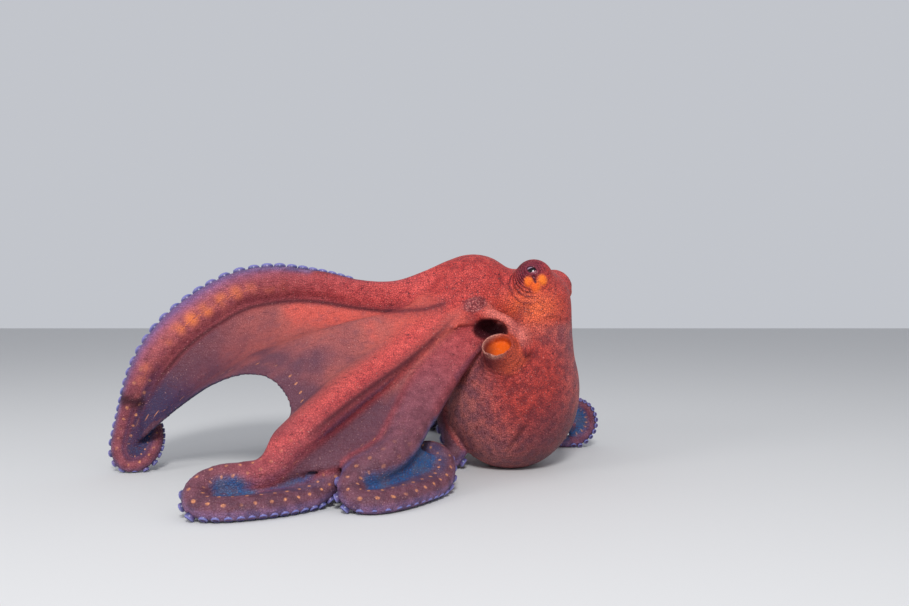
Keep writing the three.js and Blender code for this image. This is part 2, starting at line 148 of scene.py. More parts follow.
def smooth_route(points, count):
    """Places evenly spaced along a centripetal curve through the points."""
    p = np.array(points, dtype=float)
    p = np.vstack([2 * p[0] - p[1], p, 2 * p[-1] - p[-2]])
    x = np.linspace(0, 1, 24, endpoint=False)[:, None]
    dense = []
    for a, b, c, d in zip(p, p[1:], p[2:], p[3:]):
        ab, bc, cd = [max(np.linalg.norm(q - r), 1e-3) ** 0.5 for q, r in ((a, b), (b, c), (c, d))]
        start = ((b - a) / ab - (c - a) / (ab + bc) + (c - b) / bc) * bc
        end = ((c - b) / bc - (d - b) / (bc + cd) + (d - c) / cd) * bc
        bend, twist = 3 * (c - b) - 2 * start - end, 2 * (b - c) + start + end
        dense.append(b + x * start + x**2 * bend + x**3 * twist)
    dense = np.vstack([*dense, p[-2:-1]])
    run = np.concatenate([[0], np.cumsum(np.linalg.norm(np.diff(dense, axis=0), axis=1))])
    wanted = np.linspace(0, run[-1], count)
    return np.stack([np.interp(wanted, run, dense[:, k]) for k in range(3)], axis=1), run[-1]


def through(values, t):
    """A smooth curve through evenly spaced values, at t from 0 to 1."""
    values = np.array(values, dtype=float)
    last = len(values) - 1
    i = np.minimum((t * last).astype(int), last - 1)
    x = t * last - i
    a, b, c, d = [values[np.clip(i + k, 0, last)] for k in (-1, 0, 1, 2)]
    return b + 0.5 * x * (c - a + x * (2 * a - 5 * b + 4 * c - d + x * (3 * (b - c) + d - a)))


class Arm:
    """Sections from root to tip: centre, along, outside (away from the suckers), side, and half sizes."""

    def __init__(self, face, twist, girth, route):
        self.length = smooth_route(route, 2)[1]
        self.count = int(self.length / ARM_STEP)
        self.t = np.linspace(0, 1, self.count)
        self.centre = smooth_route(route, self.count)[0]
        self.along = unit(np.gradient(self.centre, axis=0))
        flank = np.array(face, dtype=float)
        outside = []
        for along, turn in zip(self.along, through(twist, self.t)):
            flank = unit(flank - along * (flank @ along))
            outside.append(flank * math.cos(turn) + np.cross(along, flank) * math.sin(turn))
        self.outside = np.array(outside)
        self.side = np.cross(self.along, self.outside)
        self.width = np.maximum(through(girth, self.t), LEAST_HALF)
        self.thick = np.maximum(self.width * mix(*ARM_THICKNESS, self.t), LEAST_HALF)

    def at(self, t, what):
        values = getattr(self, what)
        if values.ndim == 1:
            return np.interp(t, self.t, values)
        return np.stack([np.interp(t, self.t, values[:, k]) for k in range(3)], axis=-1)


def section_distance(x, y, width, thick):
    """Distance from an arm's section: x across it and y outwards from its centre."""
    depth = np.where(y > 0, thick, thick * SUCKER_SIDE_DEPTH)
    across, up = np.abs(x) / width, np.abs(y) / depth
    share = np.where(y > 0, np.sqrt(across**2 + up**2), np.cbrt(across**3 + up**3))
    return np.sqrt(x * x + y * y) * (1 - 1 / np.maximum(share, 1e-2))


def arm_distance(arm):
    """The arm's distances in its own window of the grid, and the share of its length nearest each point."""
    reach = arm.width.max()
    cells, places = window(arm.centre.min(axis=0) - reach, arm.centre.max(axis=0) + reach)
    best = np.full(places.shape[:3], FAR, dtype=np.float32)
    share = np.zeros_like(best)
    first = np.array([c.start for c in cells])
    for i in range(arm.count - 1):
        ends = arm.centre[i : i + 2]
        wide = arm.width[i]
        near, p = window(ends.min(axis=0) - wide, ends.max(axis=0) + wide)
        here = tuple(slice(n.start - f, n.stop - f) for n, f in zip(near, first))
        span = ends[1] - ends[0]
        x = np.clip((p - ends[0]) @ span / (span @ span), 0, 1)[..., None].astype(np.float32)
        away = p - (ends[0] + x * span).astype(np.float32)
        across, up = [(away * mix(*axis[i : i + 2], x)).sum(axis=-1) for axis in (arm.side, arm.outside)]
        beyond = away @ arm.along[i]
        x = x[..., 0]
        flat = section_distance(across, up, mix(*arm.width[i : i + 2], x), mix(*arm.thick[i : i + 2], x))
        distance = np.hypot(np.maximum(flat, 0), beyond) + np.minimum(flat, 0)
        closer = distance < best[here]
        best[here] = np.where(closer, distance, best[here])
        share[here] = np.where(closer, (i + x) / (arm.count - 1), share[here])
    return cells, best, share


ARM_PLANS = {  # face: the outer side at the root; twist: how the arm turns from there, in radians
    "left_1": dict(
        face=(0, -1, 0.3), twist=(0, -0.5, -0.5, -0.4, -0.4),
        girth=(15.5, 13.4, 9.8, 10.8, 13.6, 14.2, 12.8, 9.4, 7.8, 5.4, 1.6),
        route=((24, 5, 132), (-7, 2, 133), (-40, 2, 126), (-71, 8, 128), (-102, 14, 134), (-133, 16, 136),
               (-162, 14, 131), (-185, 8, 118), (-205, 0, 101), (-219, -9, 81), (-227, -14, 63),
               (-232, -14, 47), (-237, -14, 29), (-238, -18, 15), (-231, -21, 6.6), (-221, -19, 9),
               (-217, -12, 19), (-220, -4, 30), (-228, 1, 35), (-236, 4, 30), (-237, 7, 21), (-231, 9, 16)),
    ),
    "left_2": dict(
        face=(-0.1, -0.8, 0.7), twist=(0, 0, 0, 0, 0),
        girth=(14, 13.4, 12.6, 11.2, 9.4, 8.2, 8.4, 8.4, 7.6, 4.8, 1.5),
        route=((20, 0, 127), (-3, -12, 113), (-24, -28, 95), (-46, -51, 77), (-66, -76, 63), (-84, -97, 49),
               (-100, -108, 35), (-112, -115, 23), (-125, -119, 21), (-138, -123, 20), (-146, -131, 15),
               (-142, -140, 9), (-129, -142, 7.5), (-114, -138, 7.5), (-99, -131, 7.5), (-86, -121, 8),
               (-77, -111, 11), (-73, -102, 17), (-76, -95, 23), (-83, -89, 25), (-91, -84, 20),
               (-93, -78, 12), (-87, -72, 5.5), (-76, -69, 3), (-67, -71, 1.5)),
    ),
    "left_3": dict(
        face=(0.3, -0.8, 0.5), twist=(0, 0, 0, 0, 0),
        girth=(13.5, 13, 12.6, 12, 10.8, 8.8, 8.6, 8.8, 7.6, 4.6, 1.5),
        route=((18, 2, 119), (7, -18, 95), (-8, -41, 75), (-19, -62, 59), (-27, -81, 44), (-35, -97, 31),
               (-45, -106, 25), (-56, -111, 20), (-61, -118, 13.5), (-56, -125, 8), (-43, -125, 7),
               (-30, -115, 7.5), (-19, -101, 8), (-11, -88, 9), (-7, -78, 14), (-8, -70, 21),
               (-14, -64, 25), (-23, -57, 24), (-30, -49, 17), (-30, -41, 9), (-22, -35, 4.5),
               (-11, -33, 2.5), (-3, -37, 1.5)),
    ),
    "left_4": dict(
        face=(0.8, -0.6, 0), twist=(0, 0, 1.6, 3, 3, 3),
        girth=(12.5, 12, 11.3, 10.4, 9.6, 8.6, 7.6, 6.5, 5.2, 3.6, 1.5),
        route=((20, 12, 110), (9, 19, 84), (0, 15, 58), (-2, 3, 34), (1, -7, 16), (-5, -10, 7), (-18, 0, 5.6),
               (-30, 19, 5), (-47, 33, 4.5), (-67, 35, 4), (-81, 24, 3.4), (-79, 8, 2.9), (-66, 2, 2.4),
               (-55, 8, 2), (-57, 18, 1.5), (-66, 20, 1)),
    ),
    "right_4": dict(
        face=(0.8, 0.6, 0.2), twist=(0, 0, 0.4, 0.4, 0.4),
        girth=(13, 12.6, 12, 11, 10, 8.8, 7.6, 6.4, 5.2, 3.8, 1.5),
        route=((24, 15, 108), (36, 42, 96), (50, 61, 68), (64, 71, 37), (77, 76, 13), (92, 76, 4.8),
               (106, 74, 8.5), (114, 74, 19), (112, 74, 32), (102, 75, 38), (91, 73, 34), (87, 71, 25),
               (92, 69, 18), (100, 68, 20)),
    ),
    "right_3": dict(
        face=(0.3, 0.5, 0.8), twist=(0, 0, 0, 0, 0),
        girth=(13, 12.6, 12, 11, 10, 9, 7.8, 6.6, 5.2, 3.6, 1.5),
        route=((26, 21, 113), (38, 51, 102), (50, 88, 70), (61, 121, 33), (71, 146, 12), (84, 170, 5.2),
               (93, 193, 4.4), (84, 212, 3.9), (63, 217, 3.4), (50, 203, 2.9), (54, 188, 2.4), (67, 184, 2),
               (75, 193, 1.5), (69, 201, 1)),
    ),
    "right_2": dict(
        face=(-0.2, 0.5, 0.8), twist=(0, 0, 0, 0, 0),
        girth=(13.5, 13, 12.4, 11.4, 10.4, 9.2, 8, 6.8, 5.4, 3.8, 1.5),
        route=((22, 24, 120), (16, 58, 106), (5, 96, 70), (-7, 127, 35), (-15, 150, 13), (-25, 176, 5.4),
               (-27, 203, 4.6), (-12, 222, 4.2), (9, 222, 3.6), (20, 207, 3), (13, 192, 2.6), (-1, 191, 2.1),
               (-7, 201, 1.5), (0, 208, 1)),
    ),
    "right_1": dict(
        face=(-0.2, 0.4, 0.9), twist=(0, 0, 0, 0, 0),
        girth=(14.5, 14, 13.2, 12.2, 11, 9.8, 8.4, 7, 5.6, 4, 1.5),
        route=((20, 18, 129), (-9, 37, 127), (-43, 58, 104), (-73, 80, 70), (-97, 101, 36), (-113, 120, 13),
               (-124, 145, 5.5), (-121, 171, 4.6), (-104, 188, 4.2), (-83, 187, 3.6), (-71, 171, 3),
               (-76, 155, 2.6), (-91, 154, 2.1), (-98, 166, 1.5), (-90, 173, 1)),
    ),
}
ARMS = {name: Arm(**plan) for name, plan in ARM_PLANS.items()}

# ---------- the webs ----------
# Thin elastic skin stretched from arm to arm round the crown, thickest at the crown, with a free rim that
# hangs between the arms. Each is a sheet laid between the flanks of its two arms and bulged a little.
WEB_HALF = (2.3, 1.55)  # half thickness at the crown and at the rim
WEB_SEAT = 0.74  # how far out in an arm's half width the sheet is rooted
WEB_SAMPLES = 1.35  # between the sheet's sample points, about
WEB_FORK = 0.1  # each sheet starts this share of its reach down its arms
BELLY = 0.85
CROWN_WEB_FILLET = 5.0
BATCH = 3000  # places worked on together
NEAR_CELLS = 4  # how many cells round a sample are searched
WEBS = [  # lift: how far out of each arm's middle the sheet is rooted; soft: the fillet beside each arm
    dict(arms=("left_1", "left_2"), reach=(0.78, 0.44), draw=0.36, billow=8, lift=(0.3, 0.66), soft=(3.5, 18),
         rim=((-217, -22, 31), (-192, -30, 50), (-167, -40, 65), (-141, -52, 73), (-119, -64, 71),
              (-105, -76, 60), (-100, -86, 50))),
    dict(arms=("left_2", "left_3"), reach=(0.5, 0.37), draw=0.2, billow=3, lift=(0.6, 0.4), soft=(14, 5),
         rim=((-92, -112, 22), (-66, -104, 26), (-50, -99, 32))),
    dict(arms=("left_3", "left_4"), reach=(0.3, 0.3), draw=0.3, billow=2, lift=(0.5, 0.0), soft=(7, 6)),
    dict(arms=("left_4", "right_4"), reach=(0.34, 0.34), draw=0.3, billow=-8),
    dict(arms=("right_4", "right_3"), reach=(0.42, 0.42), draw=0.35, billow=4),
    dict(arms=("right_3", "right_2"), reach=(0.44, 0.44), draw=0.35, billow=6),
    dict(arms=("right_2", "right_1"), reach=(0.44, 0.44), draw=0.35, billow=6),
    dict(arms=("right_1", "left_1"), reach=(0.42, 0.3), draw=0.35, billow=2),
]


def ramp(x, low, high):
    """A smooth rise from 0 at the low value to 1 at the high one."""
    x = np.clip((np.asarray(x, dtype=np.float32) - low) / (high - low), 0, 1)
    return x * x * (3 - 2 * x)


def attach(arm, turn, t, lift):
    """Where a web is rooted in an arm's flank; turn is 1 on one side and -1 on the other."""
    side = arm.at(t, "side") * (turn * WEB_SEAT * arm.at(t, "width"))[..., None]
    return arm.at(t, "centre") + side + arm.at(t, "outside") * (lift * arm.at(t, "thick"))[..., None]


def sample_grid(across, down, extra=0):
    """Shares across and down a sheet of about that size, one pair for each sample point."""
    rows = [np.linspace(0, 1, int(length / WEB_SAMPLES) + extra) for length in (across, down)]
    return np.meshgrid(*rows, indexing="ij")


def web_sheet(arms, reach, draw, billow, lift=(0.3, 0.3), soft=(6, 6), rim=None):
    """Sample points of a web's mid surface, with their outward normals, half thicknesses and (u, v)."""
    a, b = [ARMS[name] for name in arms]
    across = np.linalg.norm(a.at(reach[0] * 0.8, "centre") - b.at(reach[1] * 0.8, "centre")) * 1.3 + 20
    down = max(reach[0] * a.length, reach[1] * b.length)
    u, v = sample_grid(across, down)
    arch = 4 * u * (1 - u)
    ends = [share * (1 - draw * arch) for share in reach]
    ta, tb = [mix(share * WEB_FORK, end, v) for share, end in zip(reach, ends)]
    places = mix(attach(a, -1, ta, lift[0]), attach(b, 1, tb, lift[1]), u[..., None])
    if rim:
        corner = attach(a, -1, np.array([reach[0]]), 0)[0], attach(b, 1, np.array([reach[1]]), 0)[0]
        edge = smooth_route((corner[0], *rim, corner[1]), u.shape[0])[0]
        hung = mix(attach(a, -1, ends[0], lift[0]), attach(b, 1, ends[1], lift[1]), u[..., None])
        places = places + v[..., None] * (edge[:, None] - hung)
    out = unit(mix(a.at(ta, "outside"), b.at(tb, "outside"), u[..., None]))
    places = places + out * (billow * arch * np.sin(math.pi * np.minimum(v, BELLY)))[..., None]
    fillets = mix(*soft, u) + CROWN_WEB_FILLET * (1 - ramp(v, 0.05, 0.35))
    return sheet_of(places, out, mix(*WEB_HALF, np.sqrt(v)), u, v, fillets)


def sheet_of(places, out, half, u, v, fillets):
    """One row for each sample: its place, its outward normal, and the rest of its facts."""
    normals = unit(np.cross(np.gradient(places, axis=0), np.gradient(places, axis=1)))
    normals *= np.sign((normals * out).sum(axis=-1, keepdims=True))
    return [x.reshape(-1, x.shape[-1]) for x in (places, normals, np.stack([half, u, v, fillets], axis=-1))]


POCKETS = [  # arm, its outgoing and returning lengths that a membrane joins, and how deep it is dished
    dict(arm="left_1", out=(0.72, 0.8), back=(0.93, 0.82), dish=1),
    dict(arm="left_2", out=(0.435, 0.585), back=(0.815, 0.61), dish=5),
    dict(arm="left_2", out=(0.76, 0.83), back=(0.96, 0.85), dish=2),
    dict(arm="left_3", out=(0.37, 0.505), back=(0.77, 0.53), dish=5),
    dict(arm="left_3", out=(0.72, 0.8), back=(0.93, 0.82), dish=2),
    dict(arm="right_4", out=(0.66, 0.8), back=(0.97, 0.82), dish=0),
]
POCKET_HALF = 2.0
POCKET_FILLET = 4.0


def pocket_sheet(arm, out, back, dish):
    """The thin skin that fills the bend of a folded arm."""
    arm = ARMS[arm]
    across = np.linalg.norm(arm.at(out[0], "centre") - arm.at(back[0], "centre"))
    down = arm.length * max(abs(out[1] - out[0]), abs(back[1] - back[0]))
    u, v = sample_grid(across, down, extra=3)
    ta, tb = mix(*out, v), mix(*back, v)
    places = mix(arm.at(ta, "centre"), arm.at(tb, "centre"), u[..., None])
    side = unit(mix(arm.at(ta, "outside"), arm.at(tb, "outside"), u[..., None]))
    places = places - side * (dish * 4 * u * (1 - u))[..., None]
    return sheet_of(places, side, np.full(u.shape, POCKET_HALF), u, v, np.full(u.shape, POCKET_FILLET))


def web_distance(places, normals, facts):
    """The distances of a sheet's nearest sample points in its own window of the grid, and their fillets."""
    half = facts[:, 0]
    cells, _ = window(places.min(axis=0), places.max(axis=0))
    first = np.array([c.start for c in cells])
    size = np.array([c.stop - c.start for c in cells])
    nearest = np.full(size.prod(), 1e6, dtype=np.float32)
    best = np.full(size.prod(), FAR, dtype=np.float32)
    width = np.full(size.prod(), 1.0, dtype=np.float32)
    steps = np.arange(-NEAR_CELLS, NEAR_CELLS + 2)
    ball = np.stack(np.meshgrid(steps, steps, steps, indexing="ij"), axis=-1).reshape(-1, 3)
    for keep in (False, True):
        for start in range(0, len(places), BATCH):
            part = slice(start, start + BATCH)
            node = ((places[part] - GRID_LOW) / PITCH).astype(int)[:, None] + ball
            away = (GRID_LOW + node * PITCH - places[part][:, None]).astype(np.float32)
            far = (away**2).sum(axis=-1)
            node = np.clip(node - first, 0, size - 1)
            flat = (node[..., 0] * size[1] + node[..., 1]) * size[2] + node[..., 2]
            if not keep:
                np.minimum.at(nearest, flat.ravel(), far.ravel())
                continue
            level = np.abs((away * normals[part][:, None]).sum(axis=-1))
            beside = np.sqrt(np.maximum(far - level**2, 0))
            distance = np.hypot(level, np.maximum(beside - WEB_SAMPLES, 0)) - half[part][:, None]
            hit = far <= nearest[flat] * 1.0001
            np.minimum.at(best, flat[hit], distance[hit].astype(np.float32))
            width[flat[hit]] = np.broadcast_to(facts[part, None, 3], hit.shape)[hit]
    return cells, best.reshape(size), width.reshape(size)


SHEETS = [web_sheet(**web) for web in WEBS] + [pocket_sheet(**pocket) for pocket in POCKETS]

# ---------- the funnel ----------
# A short muscular tube at the mantle's opening that steers the animal's jet. It grows out of the mantle as a
# blunt cone of the same skin; its mouth has a thin soft lip, and a bright hollow throat inside.
FUNNEL_ROOT = np.array((46.0, -14.0, 70.0))
FUNNEL_MOUTH = np.array((29.0, -44.0, 92.4))
FUNNEL_FACING = unit((-0.22, -0.58, 0.78))
CONE_RADII = (17.0, 11.0)
CONE_ROUND = 1.0
LIP_AT = 10.4
LIP_HEIGHT = 1.1
THROAT_DEPTH = 7.0


def cone_distance(places):
    """Distance from the blunt cone of skin that ends at the funnel's mouth."""
    axis = FUNNEL_MOUTH - FUNNEL_ROOT
    length = np.linalg.norm(axis)
    axis = (axis / length).astype(np.float32)
    away = places - FUNNEL_ROOT.astype(np.float32)
    along = away @ axis
    radius = mix(*CONE_RADII, np.clip(along / length, 0, 1)) - CONE_ROUND
    beside = np.linalg.norm(away - along[..., None] * axis, axis=-1) - radius
    beyond = (places - FUNNEL_MOUTH.astype(np.float32)) @ FUNNEL_FACING.astype(np.float32) + CONE_ROUND
    outside = np.hypot(np.maximum(beside, 0), np.maximum(beyond, 0))
    return outside + np.minimum(np.maximum(beside, beyond), 0) - CONE_ROUND


# ---------- the skin ----------
# One skin covers all the flesh with no seam: thin, elastic and wet, fillets where arms and webs run into
# the crown, and lids round each eye. It is drawn at distance zero of the forms above, then relaxed.
FLOOR = 0.5  # how high the lowest flesh is cut flat
ARM_FILLET = 9.0
FUNNEL_FILLET = 9.0
JOIN_FILLETS = (0.6, 12.0)  # where the sack meets the arms, and how much more beside the neck
CROWN_CREASE = ((-56, 0, 115.8), (-44, 0, 115), (-21, 0, 116.5), (3, 0, 123.5))  # where left_1's groove ends
COLLAR = ((23, -23, 113), (36, -29, 107), (46, -34, 98), (47.5, -37, 89))  # the mantle's thick front rim
COLLAR_RADIUS = 5.6
COLLAR_FILLET = 5.0
CAVITY = ((25.5, -30, 102), (11.5, 18, 7))  # the dark opening under the rim
CAVITY_ROUND = 3.0
FINE_AT = (  # the net is split finer near these places, at each shorter reach once more
    ((54.5, -26, 142), (24, 15, 8)),
    ((85, 25, 134), (16, 8)),
    ((29, -42, 92), (36, 14)),
)
ARM_TINTS = {  # how orange, and how mauve, each arm's outer side is from root to tip; the orange partly a painted highlight, the mauve partly painted shade
    "left_1": ((0.6, 0.5, 0.3, 0.15, 0.1, 0.1, 0.1, 0.1, 0.1), (0, 0.1, 0.4, 0.7, 0.85, 0.85, 0.9, 0.9, 0.9)),
    "left_2": ((0.6, 0.9, 1, 1, 0.2, 0, 0, 0, 0), (0, 0, 0, 0.1, 0.85, 1, 1, 1, 1)),
    "left_3": ((0.4, 0.3, 0.15, 0.05, 0, 0, 0, 0, 0), (0, 0.6, 0.95, 1, 1, 1, 1, 1, 1)),
    "left_4": ((0.2, 0, 0, 0, 0, 0, 0, 0, 0), (0.4, 1, 1, 1, 1, 1, 1, 1, 1)),
    "others": ((0.6, 0.6, 0.5, 0.4, 0.3, 0.2, 0.2, 0.1, 0.1), (0, 0.1, 0.3, 0.5, 0.7, 0.8, 0.9, 0.9, 0.9)),
}
FOLD_AT = 0.705  # a deep fold across left_1 where its lower leg begins
ROW_AT = 0.43  # rows of pale spots run along each arm's outer side, this far out in half widths
ROW_PITCH = 0.92  # from spot to spot, in half widths
HEM_PITCH = 7.0  # and along the hems of the nearest webs
HEM_AT = 0.95
HEM_LENGTHS = {0: 170.0, 1: 70.0}  # by the web's number
HEM_LENGTH = 60.0  # the other webs' hems, and how far down the webs reach
NECK_LINE = 112.6
MANTLE_GLOW = ((52.0, 67.5), (47.0, 62.0))  # middle and half sizes of the mantle's red, with painted grazing light all round it
CHEEKS = (((54, -27, 118), (20, 18, 13)), ((80, 26, 112), (20, 16, 13)))  # orange skin, and its half sizes
EYESPOT = ((14.5, -20.0, 119.0), ((0.92, 0.1, 0.38), (-0.38, 0.2, 0.9)), (9.6, 5.8))  # place, axes, sizes
OPENING_SHADE = ((25, -24, 102.5), (13.5, 16, 8.5))  # painted shade in the mantle's opening
LID_HALF = (3.3, 2.1)
LID_TILT = 0.44
LID_HEIGHTS = (-3.6, 0.95)  # in the slit, and on the lid's rim
FOLD_HEIGHT = 0.3  # of the fine folds round the lids
FOLD_PITCH = 1.9
LOBES = (((2.2, -8.3), 4.6), ((-8.2, -6.6), 5.0), ((-3.0, -11.0), 5.0))  # swellings under each eye
LOBE_HEIGHT = 0.9
FURROW = ((-1.3, -4.6), (-2.8, -8.6))
FURROW_DEPTH = 0.7


def from_bends(places, bends):
    """Distance from a line that runs through the bends."""
    best = np.full(places.shape[:-1], 99.0)
    for start, end in zip(np.array(bends[:-1]), np.array(bends[1:])):
        share = np.clip((places - start) @ (end - start) / ((end - start) @ (end - start)), 0, 1)[..., None]
        best = np.minimum(best, np.linalg.norm(places - (start + share * (end - start)), axis=-1))
    return best


skin_field = body_field.copy()
for arm in ARMS.values():
    cells, distance, share = arm_distance(arm)
    width = 0.4 + ARM_FILLET * (1 - ramp(share, 0.1, 0.3))
    skin_field[cells] = fillet(skin_field[cells], distance, width)
for places, normals, facts in SHEETS:
    cells, distance, width = web_distance(places, normals, facts)
    skin_field[cells] = fillet(skin_field[cells], distance, width)

cells, places = window((0, -60, 60), (100, 60, 150))
join = JOIN_FILLETS[0] + JOIN_FILLETS[1] * ramp(places[..., 2], 84, 102) * ramp(places[..., 0], 26, 50)
skin_field[cells] = fillet(skin_field[cells], sack_field[cells], join)
skin_field = np.minimum(skin_field, sack_field)

# In front of the mantle: its thick rim, the dark opening under that, and the funnel that comes out of it.
cells, places = window((10, -60, 62), (66, 0, 118))
skin_field[cells] = fillet(skin_field[cells], from_bends(places, COLLAR) - COLLAR_RADIUS, COLLAR_FILLET)
hollow = round_distance(places, *CAVITY, 0.0, 0.0)
skin_field[cells] = -fillet(-skin_field[cells], hollow, CAVITY_ROUND)
below = (FUNNEL_MOUTH.astype(np.float32) - places) @ np.array((0.35, 0.0, 0.94), dtype=np.float32)
funnel_fillet = 1.0 + FUNNEL_FILLET * ramp(below, -3, 8)
skin_field[cells] = fillet(skin_field[cells], cone_distance(places), funnel_fillet)
cone_field = new_field()
cone_field[cells] = cone_distance(places)
heights = GRID_LOW[2] + PITCH * np.arange(GRID_SIZE[2])
skin_field = np.maximum(skin_field, (FLOOR - heights).astype(np.float32))


def net_of(field):
    """Corners and four-sided faces of the field's zero surface, in millimetres."""
    inside = field < 0
    total = np.zeros(np.array(field.shape) - 1, dtype=np.uint8)
    for i in (0, 1):
        for j in (0, 1):
            for k in (0, 1):
                total += inside[i : i - 1 or None, j : j - 1 or None, k : k - 1 or None]
    crossed = (total > 0) & (total < 8)
    number = np.full(total.shape, -1)
    number[crossed] = np.arange(crossed.sum())
    sums = np.zeros((crossed.sum(), 3))
    hits = np.zeros(crossed.sum())
    faces = []
    for axis in range(3):
        low = [slice(None)] * 3
        high = [slice(None)] * 3
        low[axis], high[axis] = slice(0, -1), slice(1, None)
        a, b = field[tuple(low)], field[tuple(high)]
        edge = np.argwhere((a < 0) != (b < 0))
        before, after = a[tuple(edge.T)], b[tuple(edge.T)]
        place = edge.astype(float)
        place[:, axis] += before / (before - after)
        u, v = (axis + 1) % 3, (axis + 2) % 3
        ring = []
        for du, dv in ((0, 0), (1, 0), (1, 1), (0, 1)):
            cell = edge.copy()
            cell[:, u] -= du
            cell[:, v] -= dv
            ids = number[tuple(cell.T)]
            ring.append(ids)
            hits += np.bincount(ids, minlength=len(hits))
            for k in range(3):
                sums[:, k] += np.bincount(ids, weights=place[:, k], minlength=len(hits))
        ring = np.stack(ring, axis=1)
        faces.append(np.where((before < 0)[:, None], ring[:, ::-1], ring))
    return GRID_LOW + PITCH * sums / hits[:, None], np.vstack(faces)


def sampled(field, p):
    """The field and its slope at places between the grid's points."""
    q = (p - GRID_LOW) / PITCH
    i = np.clip(q.astype(int), 1, np.array(field.shape) - 3)
    x = q - i
    value, slope = 0, np.zeros_like(p)
    for corner in np.ndindex(2, 2, 2):
        w = [x[:, k] if corner[k] else 1 - x[:, k] for k in range(3)]
        f = field[tuple((i + corner).T)]
        value = value + w[0] * w[1] * w[2] * f
        for k in range(3):
            step = np.eye(3, dtype=int)[k]
            rise = (field[tuple((i + corner + step).T)] - field[tuple((i + corner - step).T)]) / (2 * PITCH)
            slope[:, k] += w[0] * w[1] * w[2] * rise
    return value, slope


def relaxed(corners, pairs, times, share=0.5):
    """The corners moved towards the middle of their neighbours."""
    for _ in range(times):
        total = np.zeros_like(corners)
        count = np.bincount(pairs.ravel(), minlength=len(corners))[:, None]
        for k in range(corners.shape[1]):
            total[:, k] = np.bincount(pairs[:, 0], corners[pairs[:, 1], k], len(corners))
            total[:, k] += np.bincount(pairs[:, 1], corners[pairs[:, 0], k], len(corners))
        corners = mix(corners, total / np.maximum(count, 1), share)
    return corners


def settled(corners):
    """The corners moved one step onto the skin's surface."""
    value, slope = sampled(skin_field, corners)
    return corners - slope * (value / np.maximum((slope**2).sum(axis=1), 0.2))[:, None]


def largest_piece(corners, faces):
    """Only the faces that hang together with the most others."""
    label = np.arange(len(corners))
    while True:
        low = label[faces].min(axis=1)
        before = label.copy()
        np.minimum.at(label, faces.ravel(), np.repeat(low, faces.shape[1]))
        label = label[label]
        if (label == before).all():
            break
    main = np.bincount(label[faces[:, 0]]).argmax()
    faces = faces[label[faces[:, 0]] == main]
    used = np.unique(faces)
    renumber = np.zeros(len(corners), dtype=int)
    renumber[used] = np.arange(len(used))
    return corners[used], renumber[faces]


corners, faces = largest_piece(*net_of(skin_field))
pairs = np.unique(np.sort(np.vstack([faces[:, [k, (k + 1) % 4]] for k in range(4)]), axis=1), axis=0)
for _ in range(4):
    corners = settled(relaxed(corners, pairs, 1))
faces = faces.tolist()


def split_near(corners, faces, centre, reach):
    """The same surface with its faces near a place split finer, one more time at each shorter reach."""
    for far in reach:
        shape = bmesh.new()
        made = [shape.verts.new(place) for place in corners]
        for face in faces:
            shape.faces.new([made[i] for i in face])
        shape.verts.index_update()
        near = np.linalg.norm(corners - centre, axis=1) < far
        edges = [edge for edge in shape.edges if near[edge.verts[0].index] and near[edge.verts[1].index]]
        bmesh.ops.subdivide_edges(shape, edges=edges, cuts=1, use_grid_fill=True)
        shape.verts.index_update()
        corners = np.array([vert.co for vert in shape.verts], dtype=float)
        faces = [[vert.index for vert in face.verts] for face in shape.faces]
        shape.free()
        changed = np.linalg.norm(corners - centre, axis=1) < far + 3
        for _ in range(3):
            corners[changed] = settled(corners[changed])
    return corners, faces


for centre, reach in FINE_AT:
    corners, faces = split_near(corners, faces, np.array(centre), reach)
pairs = np.array([(face[i - 1], face[i]) for face in faces for i in range(len(face))])
pairs = np.unique(np.sort(pairs, axis=1), axis=0)
corners = relaxed(corners, pairs, 2, 0.4)
normal = unit(sampled(skin_field, corners)[1])

